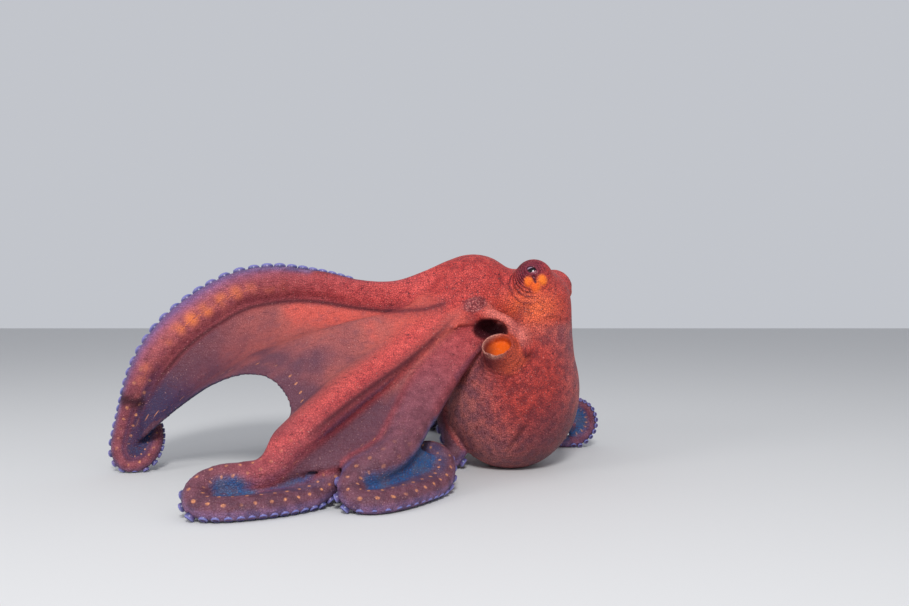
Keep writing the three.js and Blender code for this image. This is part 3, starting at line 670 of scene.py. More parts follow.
# The lids: each eye looks out of a low almond slit with a raised rim, and the skin round it lies in folds.
almond = np.full(len(corners), 40.0)
lobes = np.zeros(len(corners))
furrow = np.zeros(len(corners))
for side in EYES:
    mound, gaze, level, rise = eye_frame(side)
    fore = level if side == "left" else -level
    away = corners - mound
    near = np.linalg.norm(away, axis=1) < 26
    away = away[near]
    angle = np.arccos(np.clip(unit(away) @ gaze, -1, 1))
    flat = unit(np.stack([away @ fore, away @ rise], axis=1)) * (angle * MOUND_RADIUS)[:, None]
    tilt = np.array([[math.cos(LID_TILT), math.sin(LID_TILT)], [-math.sin(LID_TILT), math.cos(LID_TILT)]])
    slit = np.linalg.norm(flat @ tilt.T / LID_HALF, axis=1)
    out = np.linalg.norm(flat, axis=1) * (1 - 1 / np.maximum(slit, 0.05))
    lift = mix(*LID_HEIGHTS, ramp(out, -0.55, 0.3)) * (1 - ramp(out, 1.0, 3.4)) - 0.1 * ramp(out, 2.2, 3.2)
    lift = lift * (1 - ramp(out, 3.4, 5))
    bump = np.zeros(len(flat))
    for place, radius in LOBES:
        bump = np.maximum(bump, 1 - ramp(np.linalg.norm(flat - place, axis=1), 0.2 * radius, 1.3 * radius))
    turned = np.arctan2(flat[:, 1], -flat[:, 0])
    folded = ramp(out, 2.2, 3.5) * (1 - ramp(out, 9, 14))
    folded *= 0.35 + 0.65 * ramp(np.cos(turned + 0.7), -0.4, 0.6)
    waves = np.sin(2 * math.pi * out / FOLD_PITCH + 0.8 * np.sin(3 * turned))
    lift += FOLD_HEIGHT * (1 - bump) * folded * waves
    lift += LOBE_HEIGHT * bump * ramp(out, 0.8, 2.0)
    groove = (1 - ramp(from_bends(flat, FURROW), 0.3, 1.6)) * ramp(out, 0.6, 1.4)
    lift -= FURROW_DEPTH * groove
    corners[near] += (unit(away) * lift[:, None]) * ramp(unit(away) @ gaze, 0.0, 0.35)[:, None]
    closer = out < almond[near]
    almond[near] = np.where(closer, out, almond[near])
    lobes[near] = np.maximum(lobes[near], bump * ramp(out, 0.8, 2.0))
    furrow[near] = np.maximum(furrow[near], groove)

# The funnel's mouth: a thin lip, a little uneven, round a hollow throat.
away = corners - FUNNEL_MOUTH
level = unit(np.cross(FUNNEL_FACING, (0, 0, 1)))
height = away @ FUNNEL_FACING
flat = np.stack([away @ level, away @ np.cross(level, FUNNEL_FACING)], axis=1)
turned = np.arctan2(flat[:, 1], flat[:, 0])
radius = np.linalg.norm(flat, axis=1) * (1 + 0.03 * np.cos(2 * turned + 1) + 0.02 * np.cos(5 * turned))
at_mouth = ramp(height, -5.5, -2.5) * (np.linalg.norm(away, axis=1) < 16)
throat = at_mouth * ramp(LIP_AT - radius, 0, 1.5) * ramp(height, -2.5, -1.5)
lip = at_mouth * np.exp(-(((radius - LIP_AT - 0.1) / 0.6) ** 2))
sink = throat * THROAT_DEPTH * (1 - 0.28 * (radius / LIP_AT) ** 2) - LIP_HEIGHT * lip
corners = corners - sink[:, None] * FUNNEL_FACING


def mesh_piece(name, corners, faces):
    """A shown mesh object from places in these millimetres."""
    mesh = bpy.data.meshes.new(name)
    mesh.from_pydata(((np.asarray(corners) + SHIFT) * 0.001).tolist(), [], faces)
    mesh.update()
    mesh.polygons.foreach_set("use_smooth", np.ones(len(mesh.polygons), dtype=bool))
    piece = bpy.data.objects.new(name, mesh)
    bpy.context.scene.collection.objects.link(piece)
    return piece


# Where each corner lies on the animal, for the skin's markings: beside the nearest arm, on a web, or on
# the body, and how far along and across it is there. A mark is a share from 0 to 1 that fades over the
# millimetres, or the share of a length, given with it.
ALL_ARMS = list(ARMS.values())
arm_of_section = np.concatenate([np.full(arm.count, i) for i, arm in enumerate(ALL_ARMS)])
sections = {what: np.concatenate([getattr(arm, what) for arm in ALL_ARMS])
            for what in ("centre", "along", "outside", "side", "width", "thick", "t")}
nearest = np.zeros(len(corners), dtype=int)
for start in range(0, len(corners), BATCH):
    away = corners[start : start + BATCH, None] - sections["centre"]
    nearest[start : start + BATCH] = (np.linalg.norm(away, axis=-1) - 0.8 * sections["width"]).argmin(axis=1)
here = {what: values[nearest] for what, values in sections.items()}
arm_number, share_along = arm_of_section[nearest], here["t"]
away = corners - here["centre"]
across, up, ahead = [(away * here[what]).sum(axis=1) for what in ("side", "outside", "along")]
x, y = across / here["width"], up / here["thick"]
at_x, at_y, at_z = corners.T
from_arm = section_distance(across, up, here["width"], here["thick"])
from_body, from_sack, from_cone = [sampled(field, corners)[0]
                                   for field in (body_field, sack_field, cone_field)]

samples, sample_normals, sample_facts = [np.vstack([sheet[k] for sheet in SHEETS]) for k in range(3)]
sheet_of_sample = np.concatenate([np.full(len(sheet[0]), i) for i, sheet in enumerate(SHEETS)])
finder = KDTree(len(samples))
for i, place in enumerate(samples):
    finder.insert(place, i)
finder.balance()
found = [finder.find(place) for place in corners]
hit = np.array([number for _, number, _ in found])
from_sheet = np.array([far for _, _, far in found])
sheet_number = sheet_of_sample[hit]
sheet_u, sheet_v = sample_facts[hit, 1:3].T
sheet_side = (normal * sample_normals[hit]).sum(axis=1)
is_pocket = sheet_number >= len(WEBS)

on_cone = 1 - ramp(from_cone, 0.5, 3)
on_collar = 1 - ramp(from_bends(corners, COLLAR), COLLAR_RADIUS + 1, COLLAR_RADIUS + 5)
on_sack = np.maximum(1 - ramp(from_sack, 0.5, 4), 1 - ramp(from_cone, 3, 8))
on_web = ramp(from_arm, 0.2, 6) * ramp(from_body, 4, 15) * (1 - on_sack) * (1 - on_collar)
on_arm = (1 - ramp(from_arm, 0.5, 4)) * ramp(from_sack, 0.5, 3) * (1 - on_cone) * (1 - on_collar)
in_pocket = is_pocket * (1 - ramp(from_sheet, 2.4, 5.0))
# painted shade: blue-grey on the webs' inner sides and the arms' sucker sides
inner = on_web * ramp(-sheet_side, -0.2, 0.3) * (1 - in_pocket) * ramp(sheet_v, 0.15, 0.4)
inner += on_arm * ramp(-y, 0.3, 0.8) * ramp(share_along, 0.15, 0.25)
# painted shade: purple-blue along the arms' lower margins
edge = on_arm * ramp(np.abs(x), 0.4, 1.0) * (1 - ramp(y, 0.25, 0.75)) * ramp(share_along, 0.16, 0.3)
edge *= ramp(from_sheet, 4, 9)

# Blue-green painted shade on the lengths of a folded arm where they face each other, less on the returning
# one, over some blue-green of the skin's own.
fold_shade = np.zeros(len(corners))
for pocket in POCKETS:
    arm = ARMS[pocket["arm"]]
    on_this = on_arm * (arm_number == list(ARMS).index(pocket["arm"]))
    for mine, other, much in (("out", "back", 0.9), ("back", "out", 0.35)):
        first, last = pocket[mine]
        share = (share_along - first) / (last - first)
        opposite = arm.at(mix(*pocket[other], np.clip(share, 0, 1)), "centre")
        facing = ramp((normal * unit(opposite - corners)).sum(axis=1), 0.05, 0.75)
        held = ramp(share, -1.4, -0.2) * ramp(1.6 - share, 0, 0.3)
        fold_shade = np.maximum(fold_shade, much * on_this * facing * held)

tints = [ARM_TINTS.get(name, ARM_TINTS["others"]) for name in ARMS]
orange, mauve = [np.concatenate([through(tint[k], arm.t) for tint, arm in zip(tints, ALL_ARMS)])[nearest]
                 for k in (0, 1)]
# orange on the arms' upper sides: their own orange, partly a painted highlight
ridge_tint_and_highlight = on_arm * ramp(y, 0.1, 0.85) * orange
mauve = (1 - on_web) * (1 - on_sack) * (1 - on_collar) * mauve

# The grooves where the webs leave the lower flanks of left_1 and left_2, and left_1's fold, where painted
# shade goes.
is_left_1, is_left_2 = arm_number == 0, arm_number == 1
groove_at = np.where(is_left_1 | is_left_2, x + 0.97, 9.0) * here["width"]
groove_here = is_left_1 * ramp(share_along, 0.02, 0.08) * (1 - ramp(share_along, 0.62, 0.72))
groove_here = groove_here + is_left_2 * ramp(share_along, 0.05, 0.12) * (1 - ramp(share_along, 0.38, 0.44))
groove_here *= 1 - ramp(np.abs(from_arm), 3, 9)
from_crease = from_bends(corners * (1, 0, 1), CROWN_CREASE)
from_crease += 12 * (1 - ramp(at_x, -58, -50)) + 12 * ramp(at_x, -8, 3) + 50 * (normal[:, 1] > 0.1)
fold_at = (share_along - FOLD_AT) * ARMS["left_1"].length * is_left_1 - 400 * (1 - is_left_1)


def over(place, sizes):
    """How far out the corners are from a place, in half sizes of an egg shape there."""
    return np.linalg.norm((corners - place) / sizes, axis=1)


middle, half = MANTLE_GLOW
# painted grazing light: greyer mauve towards the mantle's edges
mantle_edge_light = np.linalg.norm((corners[:, [0, 2]] - middle) / half, axis=1)
mantle_edge_light = on_sack * ramp(mantle_edge_light, 0.3, 1.05) * (1 - on_cone)
cheek = sum(np.exp(-(over(place, sizes) ** 2)) for place, sizes in CHEEKS)
collar = on_collar * ramp(at_z, 88, 100) * ramp(at_x, 14, 28)
place, axes, sizes = EYESPOT
eyespot = np.linalg.norm((corners - place) @ np.transpose(axes) / sizes, axis=1)
eyespot = (1 - ramp(eyespot, 0.8, 1.1)) * (at_y < 0)
# painted shade in the mantle's opening
opening = (1 - ramp(over(*OPENING_SHADE), 0.75, 1.1)) * (1 - on_cone)
from_mouth = np.linalg.norm(corners - FUNNEL_MOUTH - 6 * FUNNEL_FACING, axis=1)
above_neck = at_z - NECK_LINE + 0.03 * (at_x - 70) ** 2

# The rows of spots: whole steps along an arm or a hem, and how far from the row's middle.
row = (np.abs(x) - ROW_AT) / ROW_PITCH
phase = np.concatenate([np.cumsum(ARM_STEP / (ROW_PITCH * arm.width)) for arm in ALL_ARMS])
phase = phase[nearest] + ahead / (ROW_PITCH * here["width"]) + 0.5 * (x > 0)
dotted = on_arm * ramp(y, -0.1, 0.3) * ramp(share_along, 0.34, 0.6)
hem_length = np.array([HEM_LENGTHS.get(number, HEM_LENGTH) for number in sheet_number])
hem = np.stack([sheet_u * hem_length, (sheet_v - HEM_AT) * HEM_LENGTH], axis=1) / HEM_PITCH
hem = relaxed(hem, pairs, 2)
hemmed = on_web * ramp(sheet_v, 0.8, 0.9) * (sheet_side > 0)
rim = sheet_v * (1 + 0.45 * (sheet_number == 1)) + is_pocket  # the painted shade comes sooner on the second web, and on pockets wholly

MARKS = {
    "zone": (on_web, inner, edge),
    "glow": (ridge_tint_and_highlight, cheek, mantle_edge_light),
    "mark": (on_sack, collar, eyespot),
    "place": (mauve, opening, np.maximum(in_pocket, fold_shade)),
    "rim": (from_crease, rim, on_cone),
    "eye": (almond, lobes, furrow),
    "mouth": (throat, lip, from_mouth),
    "line": (groove_at, groove_here, fold_at),
    "dots": (phase, row, dotted),
    "hem": (*hem.T, hemmed),
    "depth": (x, at_x - FUNNEL_MOUTH[0], above_neck),
}


def give(mesh, name, values):
    """Keeps one number or three for each corner of a mesh, under a name that its material reads."""
    values = np.array(values, dtype=np.float32)
    kind, key = ("FLOAT", "value") if values.ndim == 1 else ("FLOAT_VECTOR", "vector")
    mesh.attributes.new(name, kind, "POINT").data.foreach_set(key, values.ravel())


skin = mesh_piece("skin", corners, faces)
for name, values in MARKS.items():
    give(skin.data, name, np.stack(values, axis=1))


class Finish:
    """A material whose nodes are laid by name, each fed by values, colours or other nodes' outputs."""

    def __init__(self, name):
        self.material = bpy.data.materials.new(name)
        self.material.use_nodes = True
        self.nodes = self.material.node_tree.nodes
        self.base = None

    def feed(self, socket, value):
        if isinstance(value, bpy.types.NodeSocket):
            self.material.node_tree.links.new(value, socket)
        elif isinstance(value, tuple) and socket.type == "RGBA":
            socket.default_value = (*value, 1)[:4]
        else:
            socket.default_value = value

    def set(self, name, value):
        self.feed(self.nodes["Principled BSDF"].inputs[name], value)

    def paint(self, share, hue):
        """One more coat on the base colour so far, by its share of 0 to 1."""
        self.base = self.mix(share, self.base, hue)

    def node(self, kind, inputs=(), **settings):
        node = self.nodes.new("ShaderNode" + kind)
        for name, value in settings.items():
            setattr(node, name, value)
        for name, value in dict(inputs).items():
            self.feed(node.inputs[name], value)
        return node

    def math(self, operation, *values, clamp=False):
        return self.node("Math", enumerate(values), operation=operation, use_clamp=clamp).outputs[0]

    def ramp(self, value, low, high):
        return self.node("MapRange", {"Value": value, "From Min": low, "From Max": high},
                         interpolation_type="SMOOTHSTEP").outputs[0]

    def mix(self, share, a, b):
        node = self.node("Mix", data_type="RGBA")
        for i, value in ((0, share), (6, a), (7, b)):
            self.feed(node.inputs[i], value)
        return node.outputs[2]

    def parts(self, name):
        vector = self.node("Attribute", attribute_name=name).outputs["Vector"]
        return self.node("SeparateXYZ", {0: vector}).outputs

    def place(self):
        return self.node("TexCoord").outputs["Object"]

    def noise(self, place, scale, detail=3.0, rough=0.55):
        return self.node("TexNoise", {"Vector": place, "Scale": scale, "Detail": detail,
                                      "Roughness": rough}).outputs["Fac"]

    def cells(self, place, scale, feature="F1", out="Distance"):
        return self.node("TexVoronoi", {"Vector": place, "Scale": scale}, feature=feature).outputs[out]

    def bumped(self, height, distance, strength=1.0, under=None):
        inputs = {"Height": height, "Distance": distance, "Strength": strength}
        if under is not None:
            inputs["Normal"] = under
        return self.node("Bump", inputs).outputs["Normal"]


def rgb(red, green, blue):
    """A colour given as it looks on a screen, from 0 to 255, in the shader's linear light."""
    return tuple(((c / 255 + 0.055) / 1.055) ** 2.4 for c in (red, green, blue))


flesh = Finish("octopus_skin")
web, within, margin_shade = flesh.parts("zone")
crest, cheek_glow, shade = flesh.parts("glow")
sack, pale, false_eye = flesh.parts("mark")
purple, deep, pocket = flesh.parts("place")
crown_line, rim_v, tube = flesh.parts("rim")
lid_out, lobe, crease = flesh.parts("eye")
throat_in, lip_on, mouth_far = flesh.parts("mouth")
line_at, line_on, fold_line = flesh.parts("line")
dot_along, dot_over, dot_on = flesh.parts("dots")
hem_along, hem_over, hem_on = flesh.parts("hem")
arm_x, beside, over_neck = flesh.parts("depth")
here_at = flesh.place()


def times(*values):
    result = values[0]
    for value in values[1:]:
        result = flesh.math("MULTIPLY", result, value)
    return result


def plus(a, b, clamp=False):
    return flesh.math("ADD", a, b, clamp=clamp)


def less(a, b):
    return flesh.math("SUBTRACT", a, b)


def scaled(value, scale, shift):
    return flesh.math("MULTIPLY_ADD", value, scale, shift)


def hump(value, centre, width):
    """One at the centre and none beyond the width."""
    return flesh.ramp(flesh.math("ABSOLUTE", less(value, centre)), width, 0.0)


def between(value, low, start, end, high):
    """Full from the start to the end, and fading out to the low and the high value."""
    return times(flesh.ramp(value, low, start), flesh.ramp(value, high, end))


def spots(along, over, size, core=0.55):
    """Discs at every whole step along a row, full within their core."""
    step = less(flesh.math("FRACT", along), 0.5)
    far = flesh.math("SQRT", plus(times(step, step), times(over, over)))
    return flesh.ramp(far, size, size * core)


broad = flesh.noise(here_at, 40, 2)
patches = flesh.noise(here_at, 150, 3)
fine_grain = flesh.noise(here_at, 1500, 2, 0.6)
cracks = flesh.ramp(flesh.cells(here_at, 640, "DISTANCE_TO_EDGE"), 0.2, 0.02)


def dappled(low, high, dark, light, grain=patches):
    """Two colours in small soft patches."""
    return flesh.mix(flesh.ramp(grain, low, high), rgb(*dark), rgb(*light))


# Red flesh; webs brown towards their rims and darker there with painted shade, with more painted shade far to
# the left; arms mauve lower down, partly painted shade, with orange-red ridges higher up that are partly a
# painted highlight.
flesh.base = dappled(0.3, 0.7, (186, 58, 54), (216, 80, 72))
tide = scaled(less(broad, 0.5), 0.9, rim_v)
web_hue = dappled(0.15, 0.6, (214, 94, 82), (174, 92, 86), tide)
for share, hue in (
    # painted shade: darker mauve-brown towards the webs' rims
    (flesh.ramp(tide, 0.5, 1.05), (100, 64, 78)),
    (times(flesh.ramp(patches, 0.5, 0.7), 0.35), (120, 74, 84)),
    # painted shade: the webs darker far to the left, where less light falls
    (times(flesh.ramp(beside, -150.0, -235.0), 0.8), (84, 54, 72)),
):
    web_hue = flesh.mix(share, web_hue, rgb(*hue))
flesh.paint(web, web_hue)
thigh = hump(fold_line, -75.0, 95.0)  # left_1's length before its fold
# mauve on the arms' lower lengths, partly painted shade
purple_hue = dappled(0.35, 0.65, (92, 60, 74), (118, 76, 90))
flesh.paint(purple, flesh.mix(thigh, purple_hue, dappled(0.35, 0.65, (160, 88, 98), (190, 106, 108))))
# painted highlight: a brighter orange-red crest along the arms' upper sides
flesh.paint(times(crest, scaled(thigh, -0.8, 1.0)), dappled(0.3, 0.7, (222, 86, 84), (252, 106, 98)))

# The mantle, with painted grazing light towards its edges and painted shade low on its right side; the
# cheeks' orange; painted shade on the arms' margins and undersides, and blue-green painted shade in the
# folds.
flesh.paint(sack, dappled(0.35, 0.65, (136, 43, 40), (194, 68, 57)))
# painted grazing light towards the mantle's edges
flesh.paint(shade, dappled(0.35, 0.65, (150, 94, 104), (204, 118, 114)))
flesh.paint(flesh.math("MULTIPLY", cheek_glow, 0.95, clamp=True), rgb(255, 116, 66))
# painted shade along the arms' lower margins
flesh.paint(margin_shade, dappled(0.4, 0.6, (96, 82, 122), (136, 104, 142)))
# painted shade on the webs' inner sides and the arms' sucker sides
flesh.paint(within, rgb(64, 66, 98))
flesh.paint(times(thigh, flesh.ramp(arm_x, 0.3, 1.0), 0.85), rgb(122, 92, 142))
# painted shade low on the mantle's right side
low_right_shade = times(sack, flesh.ramp(beside, -8.0, 30.0), flesh.ramp(over_neck, -45.0, -80.0), 0.6)
flesh.paint(low_right_shade, rgb(84, 46, 60))
# blue-green painted shade in the folds and their membranes, partly the skin's own blue-green
flesh.paint(pocket, dappled(0.4, 0.6, (8, 84, 138), (56, 88, 126)))
flesh.paint(times(pale, 0.9), rgb(232, 122, 108))
pebbles = flesh.cells(here_at, 760)
flesh.paint(times(false_eye, 0.8), dappled(0.25, 0.7, (190, 116, 112), (112, 48, 56), pebbles))

# Painted shade down left_1's lower leg, a dark line in its middle groove and a dark blue side, and its orange
# blotches.
# painted shade: a dark line down the leg's middle groove, and a dark blue side
legs = between(fold_line, -4.0, 6.0, 60.0, 95.0)
flesh.paint(times(hump(arm_x, -0.02, 0.3), legs, 0.65), rgb(52, 40, 78))
shin = between(fold_line, -45.0, -5.0, 60.0, 95.0)
flesh.paint(times(flesh.ramp(arm_x, -0.05, -0.5), shin, 0.85), rgb(40, 46, 82))
side_step = scaled(flesh.math("GREATER_THAN", arm_x, 0.0), -0.5, dot_along)
blotches = spots(side_step, less(arm_x, 0.05), 0.62, 0.1)
blotches = times(blotches, thigh, flesh.ramp(broad, 0.35, 0.55), less(1.0, within))
flesh.paint(times(blotches, 0.85), rgb(240, 130, 72))

# Rows of pale spots, a little astray, along the arms and the webs' hems.
stray_along = scaled(patches, 0.5, dot_along)
stray_over = scaled(less(broad, 0.5), 0.5, dot_over)
dots = spots(stray_along, stray_over, 0.18, 0.35)
dots = times(dots, dot_on, flesh.ramp(broad, 0.3, 0.55), flesh.ramp(thigh, 0.6, 0.1))
hem_dots = times(spots(hem_along, hem_over, 0.11), hem_on, flesh.ramp(broad, 0.4, 0.6))
flesh.paint(flesh.math("MAXIMUM", times(dots, 0.75), times(hem_dots, 0.7)), rgb(238, 158, 108))

# Painted shade in the grooves and creases, each a wide soft shade with a narrow dark line in it; painted
# shadow in the fold and the dimple, and painted shade in the mantle's opening.
dimple = times(sack, hump(beside, 14.5, 11.0), hump(over_neck, -60.0, 6.0))
flesh.paint(times(hump(crown_line, 0.0, 9.0), 0.45), rgb(104, 32, 44))
flesh.paint(times(hump(crown_line, 0.0, 2.6), 0.7), rgb(70, 20, 36))
flesh.paint(times(hump(line_at, 1.0, 9.0), line_on, 0.45), rgb(104, 32, 44))
flesh.paint(times(hump(line_at, 0.0, 2.6), line_on, 0.85), rgb(64, 18, 30))
# painted shadow under left_1's fold
flesh.paint(times(hump(fold_line, 0.0, 8.0), 0.9, flesh.ramp(web, 0.6, 0.1)), rgb(34, 12, 26))
# painted shade in the mantle's dimple
flesh.paint(times(dimple, 0.6), rgb(72, 22, 32))
# painted shade in the mantle's opening
flesh.paint(deep, rgb(48, 8, 16))

# The funnel: orange on the side near the eye and darker on its left with painted shade, a pale lip, and a
# bright throat with painted shade on its left wall.
# painted shade: the tube darker on its left, orange of its own towards the eye
flesh.paint(tube, dappled(-8.0, 9.0, (130, 60, 64), (206, 84, 56), beside))
flesh.paint(times(lip_on, flesh.ramp(beside, 8.0, -3.0)), rgb(226, 160, 140))
# painted shade: the throat's left wall dark red, its own bright orange on the right
flesh.paint(throat_in, dappled(-9.0, 3.0, (112, 40, 26), (216, 88, 5), beside))

# Round the eye: painted shade between head and mantle and along the neck's crease, purple above, orange lobes
# below, and a dark rim to the lids.
# painted shade between head and mantle
flesh.paint(times(hump(beside, 17.5, 13.0), hump(over_neck, 17.0, 13.0), 0.6), rgb(122, 34, 44))
# painted shade along the neck's crease
flesh.paint(times(hump(over_neck, 0.0, 1.6), hump(beside, 41.0, 13.0), 0.3), rgb(104, 32, 34))
flesh.paint(times(flesh.ramp(lid_out, 17.0, 7.0), flesh.ramp(over_neck, 29.0, 40.0), 0.65), rgb(112, 40, 68))
flesh.paint(times(flesh.ramp(lid_out, 9.0, 2.0), 0.85), rgb(112, 36, 54))
flesh.paint(flesh.ramp(lobe, 0.0, 0.9), dappled(0.35, 0.65, (232, 96, 34), (244, 122, 40)))
flesh.paint(flesh.ramp(lid_out, 1.1, 0.2), rgb(84, 30, 44))
flesh.paint(crease, rgb(86, 22, 40))

# Waves of fine folds round the funnel's mouth and the eye, and streaks along the skin.
wave = flesh.math("SINE", scaled(mouth_far, 2.0, times(broad, 9.0)))
wave = times(wave, sack, flesh.ramp(mouth_far, 62.0, 18.0), flesh.ramp(patches, 0.35, 0.65))
eye_wave = flesh.math("SINE", scaled(lid_out, 3.1, times(broad, 6.0)))
eye_wave = times(eye_wave, less(1.0, lobe), flesh.ramp(lid_out, 24.0, 11.0), flesh.ramp(lid_out, 3.0, 6.0),
                 flesh.ramp(beside, 40.0, 16.0), 1.4)
lines_at = flesh.node("Mapping", {"Vector": here_at, "Rotation": (0.0, 0.35, 0.0), "Scale": (0.3, 0.7, 1.3)})
lines = flesh.noise(lines_at.outputs[0], 620, 3, 0.6)

# Fine dark grain over all but the lobes, lids and throat, fainter on webs and mauve arms, painted shade in
# the troughs of the folds round the eye, and pale specks.
dark = times(cracks, 0.42)
dark = plus(dark, times(flesh.ramp(fine_grain, 0.45, 0.7), 0.4))
dark = plus(dark, times(flesh.ramp(flesh.noise(here_at, 380, 3, 0.65), 0.5, 0.75), 0.45))
dark = times(dark, scaled(flesh.math("MAXIMUM", web, purple), -0.5, 1.0))
dark = plus(dark, times(flesh.ramp(lines, 0.5, 0.72), scaled(sack, -0.2, 0.3)))
# painted shade in the troughs of the fine folds round the eye
dark = plus(dark, times(flesh.ramp(eye_wave, 0.2, -0.9), 0.4), clamp=True)
plain = less(1.0, flesh.math("MAXIMUM", lobe, flesh.ramp(lid_out, 2.0, 1.0)))
dark = times(dark, plain, scaled(blotches, -0.8, 1.0))
flesh.paint(times(dark, less(1.0, throat_in)), rgb(78, 22, 34))
flesh.paint(times(flesh.ramp(flesh.noise(here_at, 1100, 1), 0.7, 0.76), 0.45), rgb(226, 170, 160))

neck_wave = times(hump(over_neck, 0.0, 2.4), hump(beside, 41.0, 13.0), -3.5)
folds = plus(plus(wave, eye_wave), scaled(dimple, -5.0, neck_wave))
folds = flesh.bumped(scaled(lines, -1.6, folds), 0.0003, 1.0)
fine = flesh.bumped(less(1.0, cracks), 0.0003, 0.8, folds)
flesh.set("Base Color", flesh.base)
flesh.set("Roughness", scaled(patches, 0.25, 0.4))
flesh.set("Specular IOR Level", 0.22)
flesh.set("Normal", flesh.bumped(patches, 0.0012, 0.5, fine))
skin.data.materials.append(flesh.material)
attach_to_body(skin, "root")
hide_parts(*[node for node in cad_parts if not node.startswith("eye_")])

# ---------- the suckers ----------
# Soft muscular cups in two rows under each arm, large near the crown and tiny at the tip, splayed so that
# their rims show past the arm's edges. One small cup is set at every place along the rows.
CUP_PROFILE = ((0.7, -0.9), (0.95, -0.4), (1.02, 0.0), (0.97, 0.25), (0.8, 0.4), (0.55, 0.24), (0.28, 0.0))
CUP_RIM = (0, 0, 0.25, 1, 0.6, 0, 0)  # how pale each ring of the profile is
CUP_SIDES = 10
CUP_SHARE = 0.34  # a cup's radius over the arm's half width
CUP_OUT = 0.82  # how far out the rows run, in half widths
CUP_SPLAY = 1.0  # how far each cup leans outwards, in radians
CUP_LEAST = 0.5
CUP_SPACING = 1.98  # from cup to cup, in radii
CUPS_FROM = {"left_1": 0.24, "left_2": 0.42, "left_3": 0.42}  # nearer the crown the webs hide them
CUPS_FROM_OTHERS = 0.3
CUPS_TO = 0.985
CUP_SCALE = (0.95, 0.1)  # of the radius, and how much more some cups have by chance


def ring_faces(first, second, sides):
    """The faces between two rings of corners, given the number of each ring's first corner."""
    return [(first + k, first + (k + 1) % sides, second + (k + 1) % sides, second + k) for k in range(sides)]


def cup_mesh():
    turns = np.arange(CUP_SIDES) * 2 * math.pi / CUP_SIDES
    places = [(r * math.cos(a), r * math.sin(a), z) for r, z in CUP_PROFILE for a in turns]
    starts = range(0, len(places), CUP_SIDES)
    faces = [face for a, b in zip(starts, starts[1:]) for face in ring_faces(a, b, CUP_SIDES)]
    faces += [tuple(range(starts[-1], len(places))), tuple(range(CUP_SIDES))[::-1]]
    mesh = bpy.data.meshes.new("cup")
    mesh.from_pydata(places, [], faces)
    mesh.polygons.foreach_set("use_smooth", np.ones(len(mesh.polygons), dtype=bool))
    give(mesh, "rim", np.repeat(CUP_RIM, CUP_SIDES))
    return mesh


places, facings, sizes = [], [], []
for name, arm in ARMS.items():
    for turn in (-1, 1):
        run_at = CUPS_FROM.get(name, CUPS_FROM_OTHERS) * arm.length
        run_at += 0 if turn < 0 else CUP_SHARE * arm.width[0]
        while run_at < CUPS_TO * arm.length:
            t = run_at / arm.length
            width, thick = arm.at(t, "width"), arm.at(t, "thick")
            side, outside = turn * unit(arm.at(t, "side")), unit(arm.at(t, "outside"))
            radius = max(CUP_SHARE * width, CUP_LEAST)
            run_at += CUP_SPACING * radius
            drop = SUCKER_SIDE_DEPTH * thick * (1 - CUP_OUT**3) ** (1 / 3)
            facing = side * math.sin(CUP_SPLAY) - outside * math.cos(CUP_SPLAY)
            place = arm.at(t, "centre") + side * CUP_OUT * width - outside * drop + facing * 0.2 * radius
            tall = radius * (math.sqrt(1 - facing[2] ** 2) + 0.4 * abs(facing[2]))
            raised = max(0.0, FLOOR + tall - place[2])
            buried = sampled(skin_field, (place + facing * 0.3 * radius)[None])[0][0] < -0.2 * radius
            if buried or raised > 1.2 * radius or finder.find(place + facing * radius)[2] < 0.8 * radius:
                continue  # it would lie under the arm, or under the skin of a fold or a web
            places.append(place + (0, 0, raised))
            facings.append(facing)
            sizes.append(radius * 0.001)

cup = bpy.data.objects.new("cup", cup_mesh())
cups = Finish("sucker_cups")
cup_hue = cups.mix(cups.ramp(cups.noise(cups.place(), 200), 0.4, 0.6), rgb(50, 48, 94), rgb(92, 72, 116))
cup_rim = cups.node("Attribute", attribute_name="rim").outputs["Fac"]
cups.set("Base Color", cups.mix(cup_rim, cup_hue, rgb(118, 118, 182)))
cups.set("Roughness", 0.35)

rows = mesh_piece("suckers", places, [])
give(rows.data, "facing", facings)
give(rows.data, "size", sizes)

tree = bpy.data.node_groups.new("cups_along_rows", "GeometryNodeTree")
tree.interface.new_socket("Geometry", in_out="INPUT", socket_type="NodeSocketGeometry")
size_socket = tree.interface.new_socket("Cup size", in_out="INPUT", socket_type="NodeSocketFloat")
vary_socket = tree.interface.new_socket("Size variation", in_out="INPUT", socket_type="NodeSocketFloat")
tree.interface.new_socket("Geometry", in_out="OUTPUT", socket_type="NodeSocketGeometry")


def lay(kind, inputs=(), **settings):
    node = tree.nodes.new(kind)
    for name, value in settings.items():
        setattr(node, name, value)
    for name, value in dict(inputs).items():
        if isinstance(value, bpy.types.NodeSocket):
            tree.links.new(value, node.inputs[name])
        else:
            node.inputs[name].default_value = value
    return node


def lay_math(operation, a, b):
    return lay("ShaderNodeMath", {0: a, 1: b}, operation=operation).outputs[0]


entry = lay("NodeGroupInput").outputs
one_cup = lay("GeometryNodeObjectInfo", {"Object": cup})
facing = lay("GeometryNodeInputNamedAttribute", {"Name": "facing"}, data_type="FLOAT_VECTOR")
size = lay("GeometryNodeInputNamedAttribute", {"Name": "size"}, data_type="FLOAT")
aim = lay("FunctionNodeAlignRotationToVector", {"Vector": facing.outputs["Attribute"]}, axis="Z")
chance = lay("FunctionNodeRandomValue", {"Seed": 7}, data_type="FLOAT")
swing = lay_math("MULTIPLY", chance.outputs["Value"], entry["Size variation"])
scale = lay_math("MULTIPLY", lay_math("ADD", swing, entry["Cup size"]), size.outputs["Attribute"])
placed = lay("GeometryNodeInstanceOnPoints", {
    "Points": entry["Geometry"], "Instance": one_cup.outputs["Geometry"],
    "Rotation": aim.outputs["Rotation"], "Scale": scale,
})
real = lay("GeometryNodeRealizeInstances", {"Geometry": placed.outputs["Instances"]})
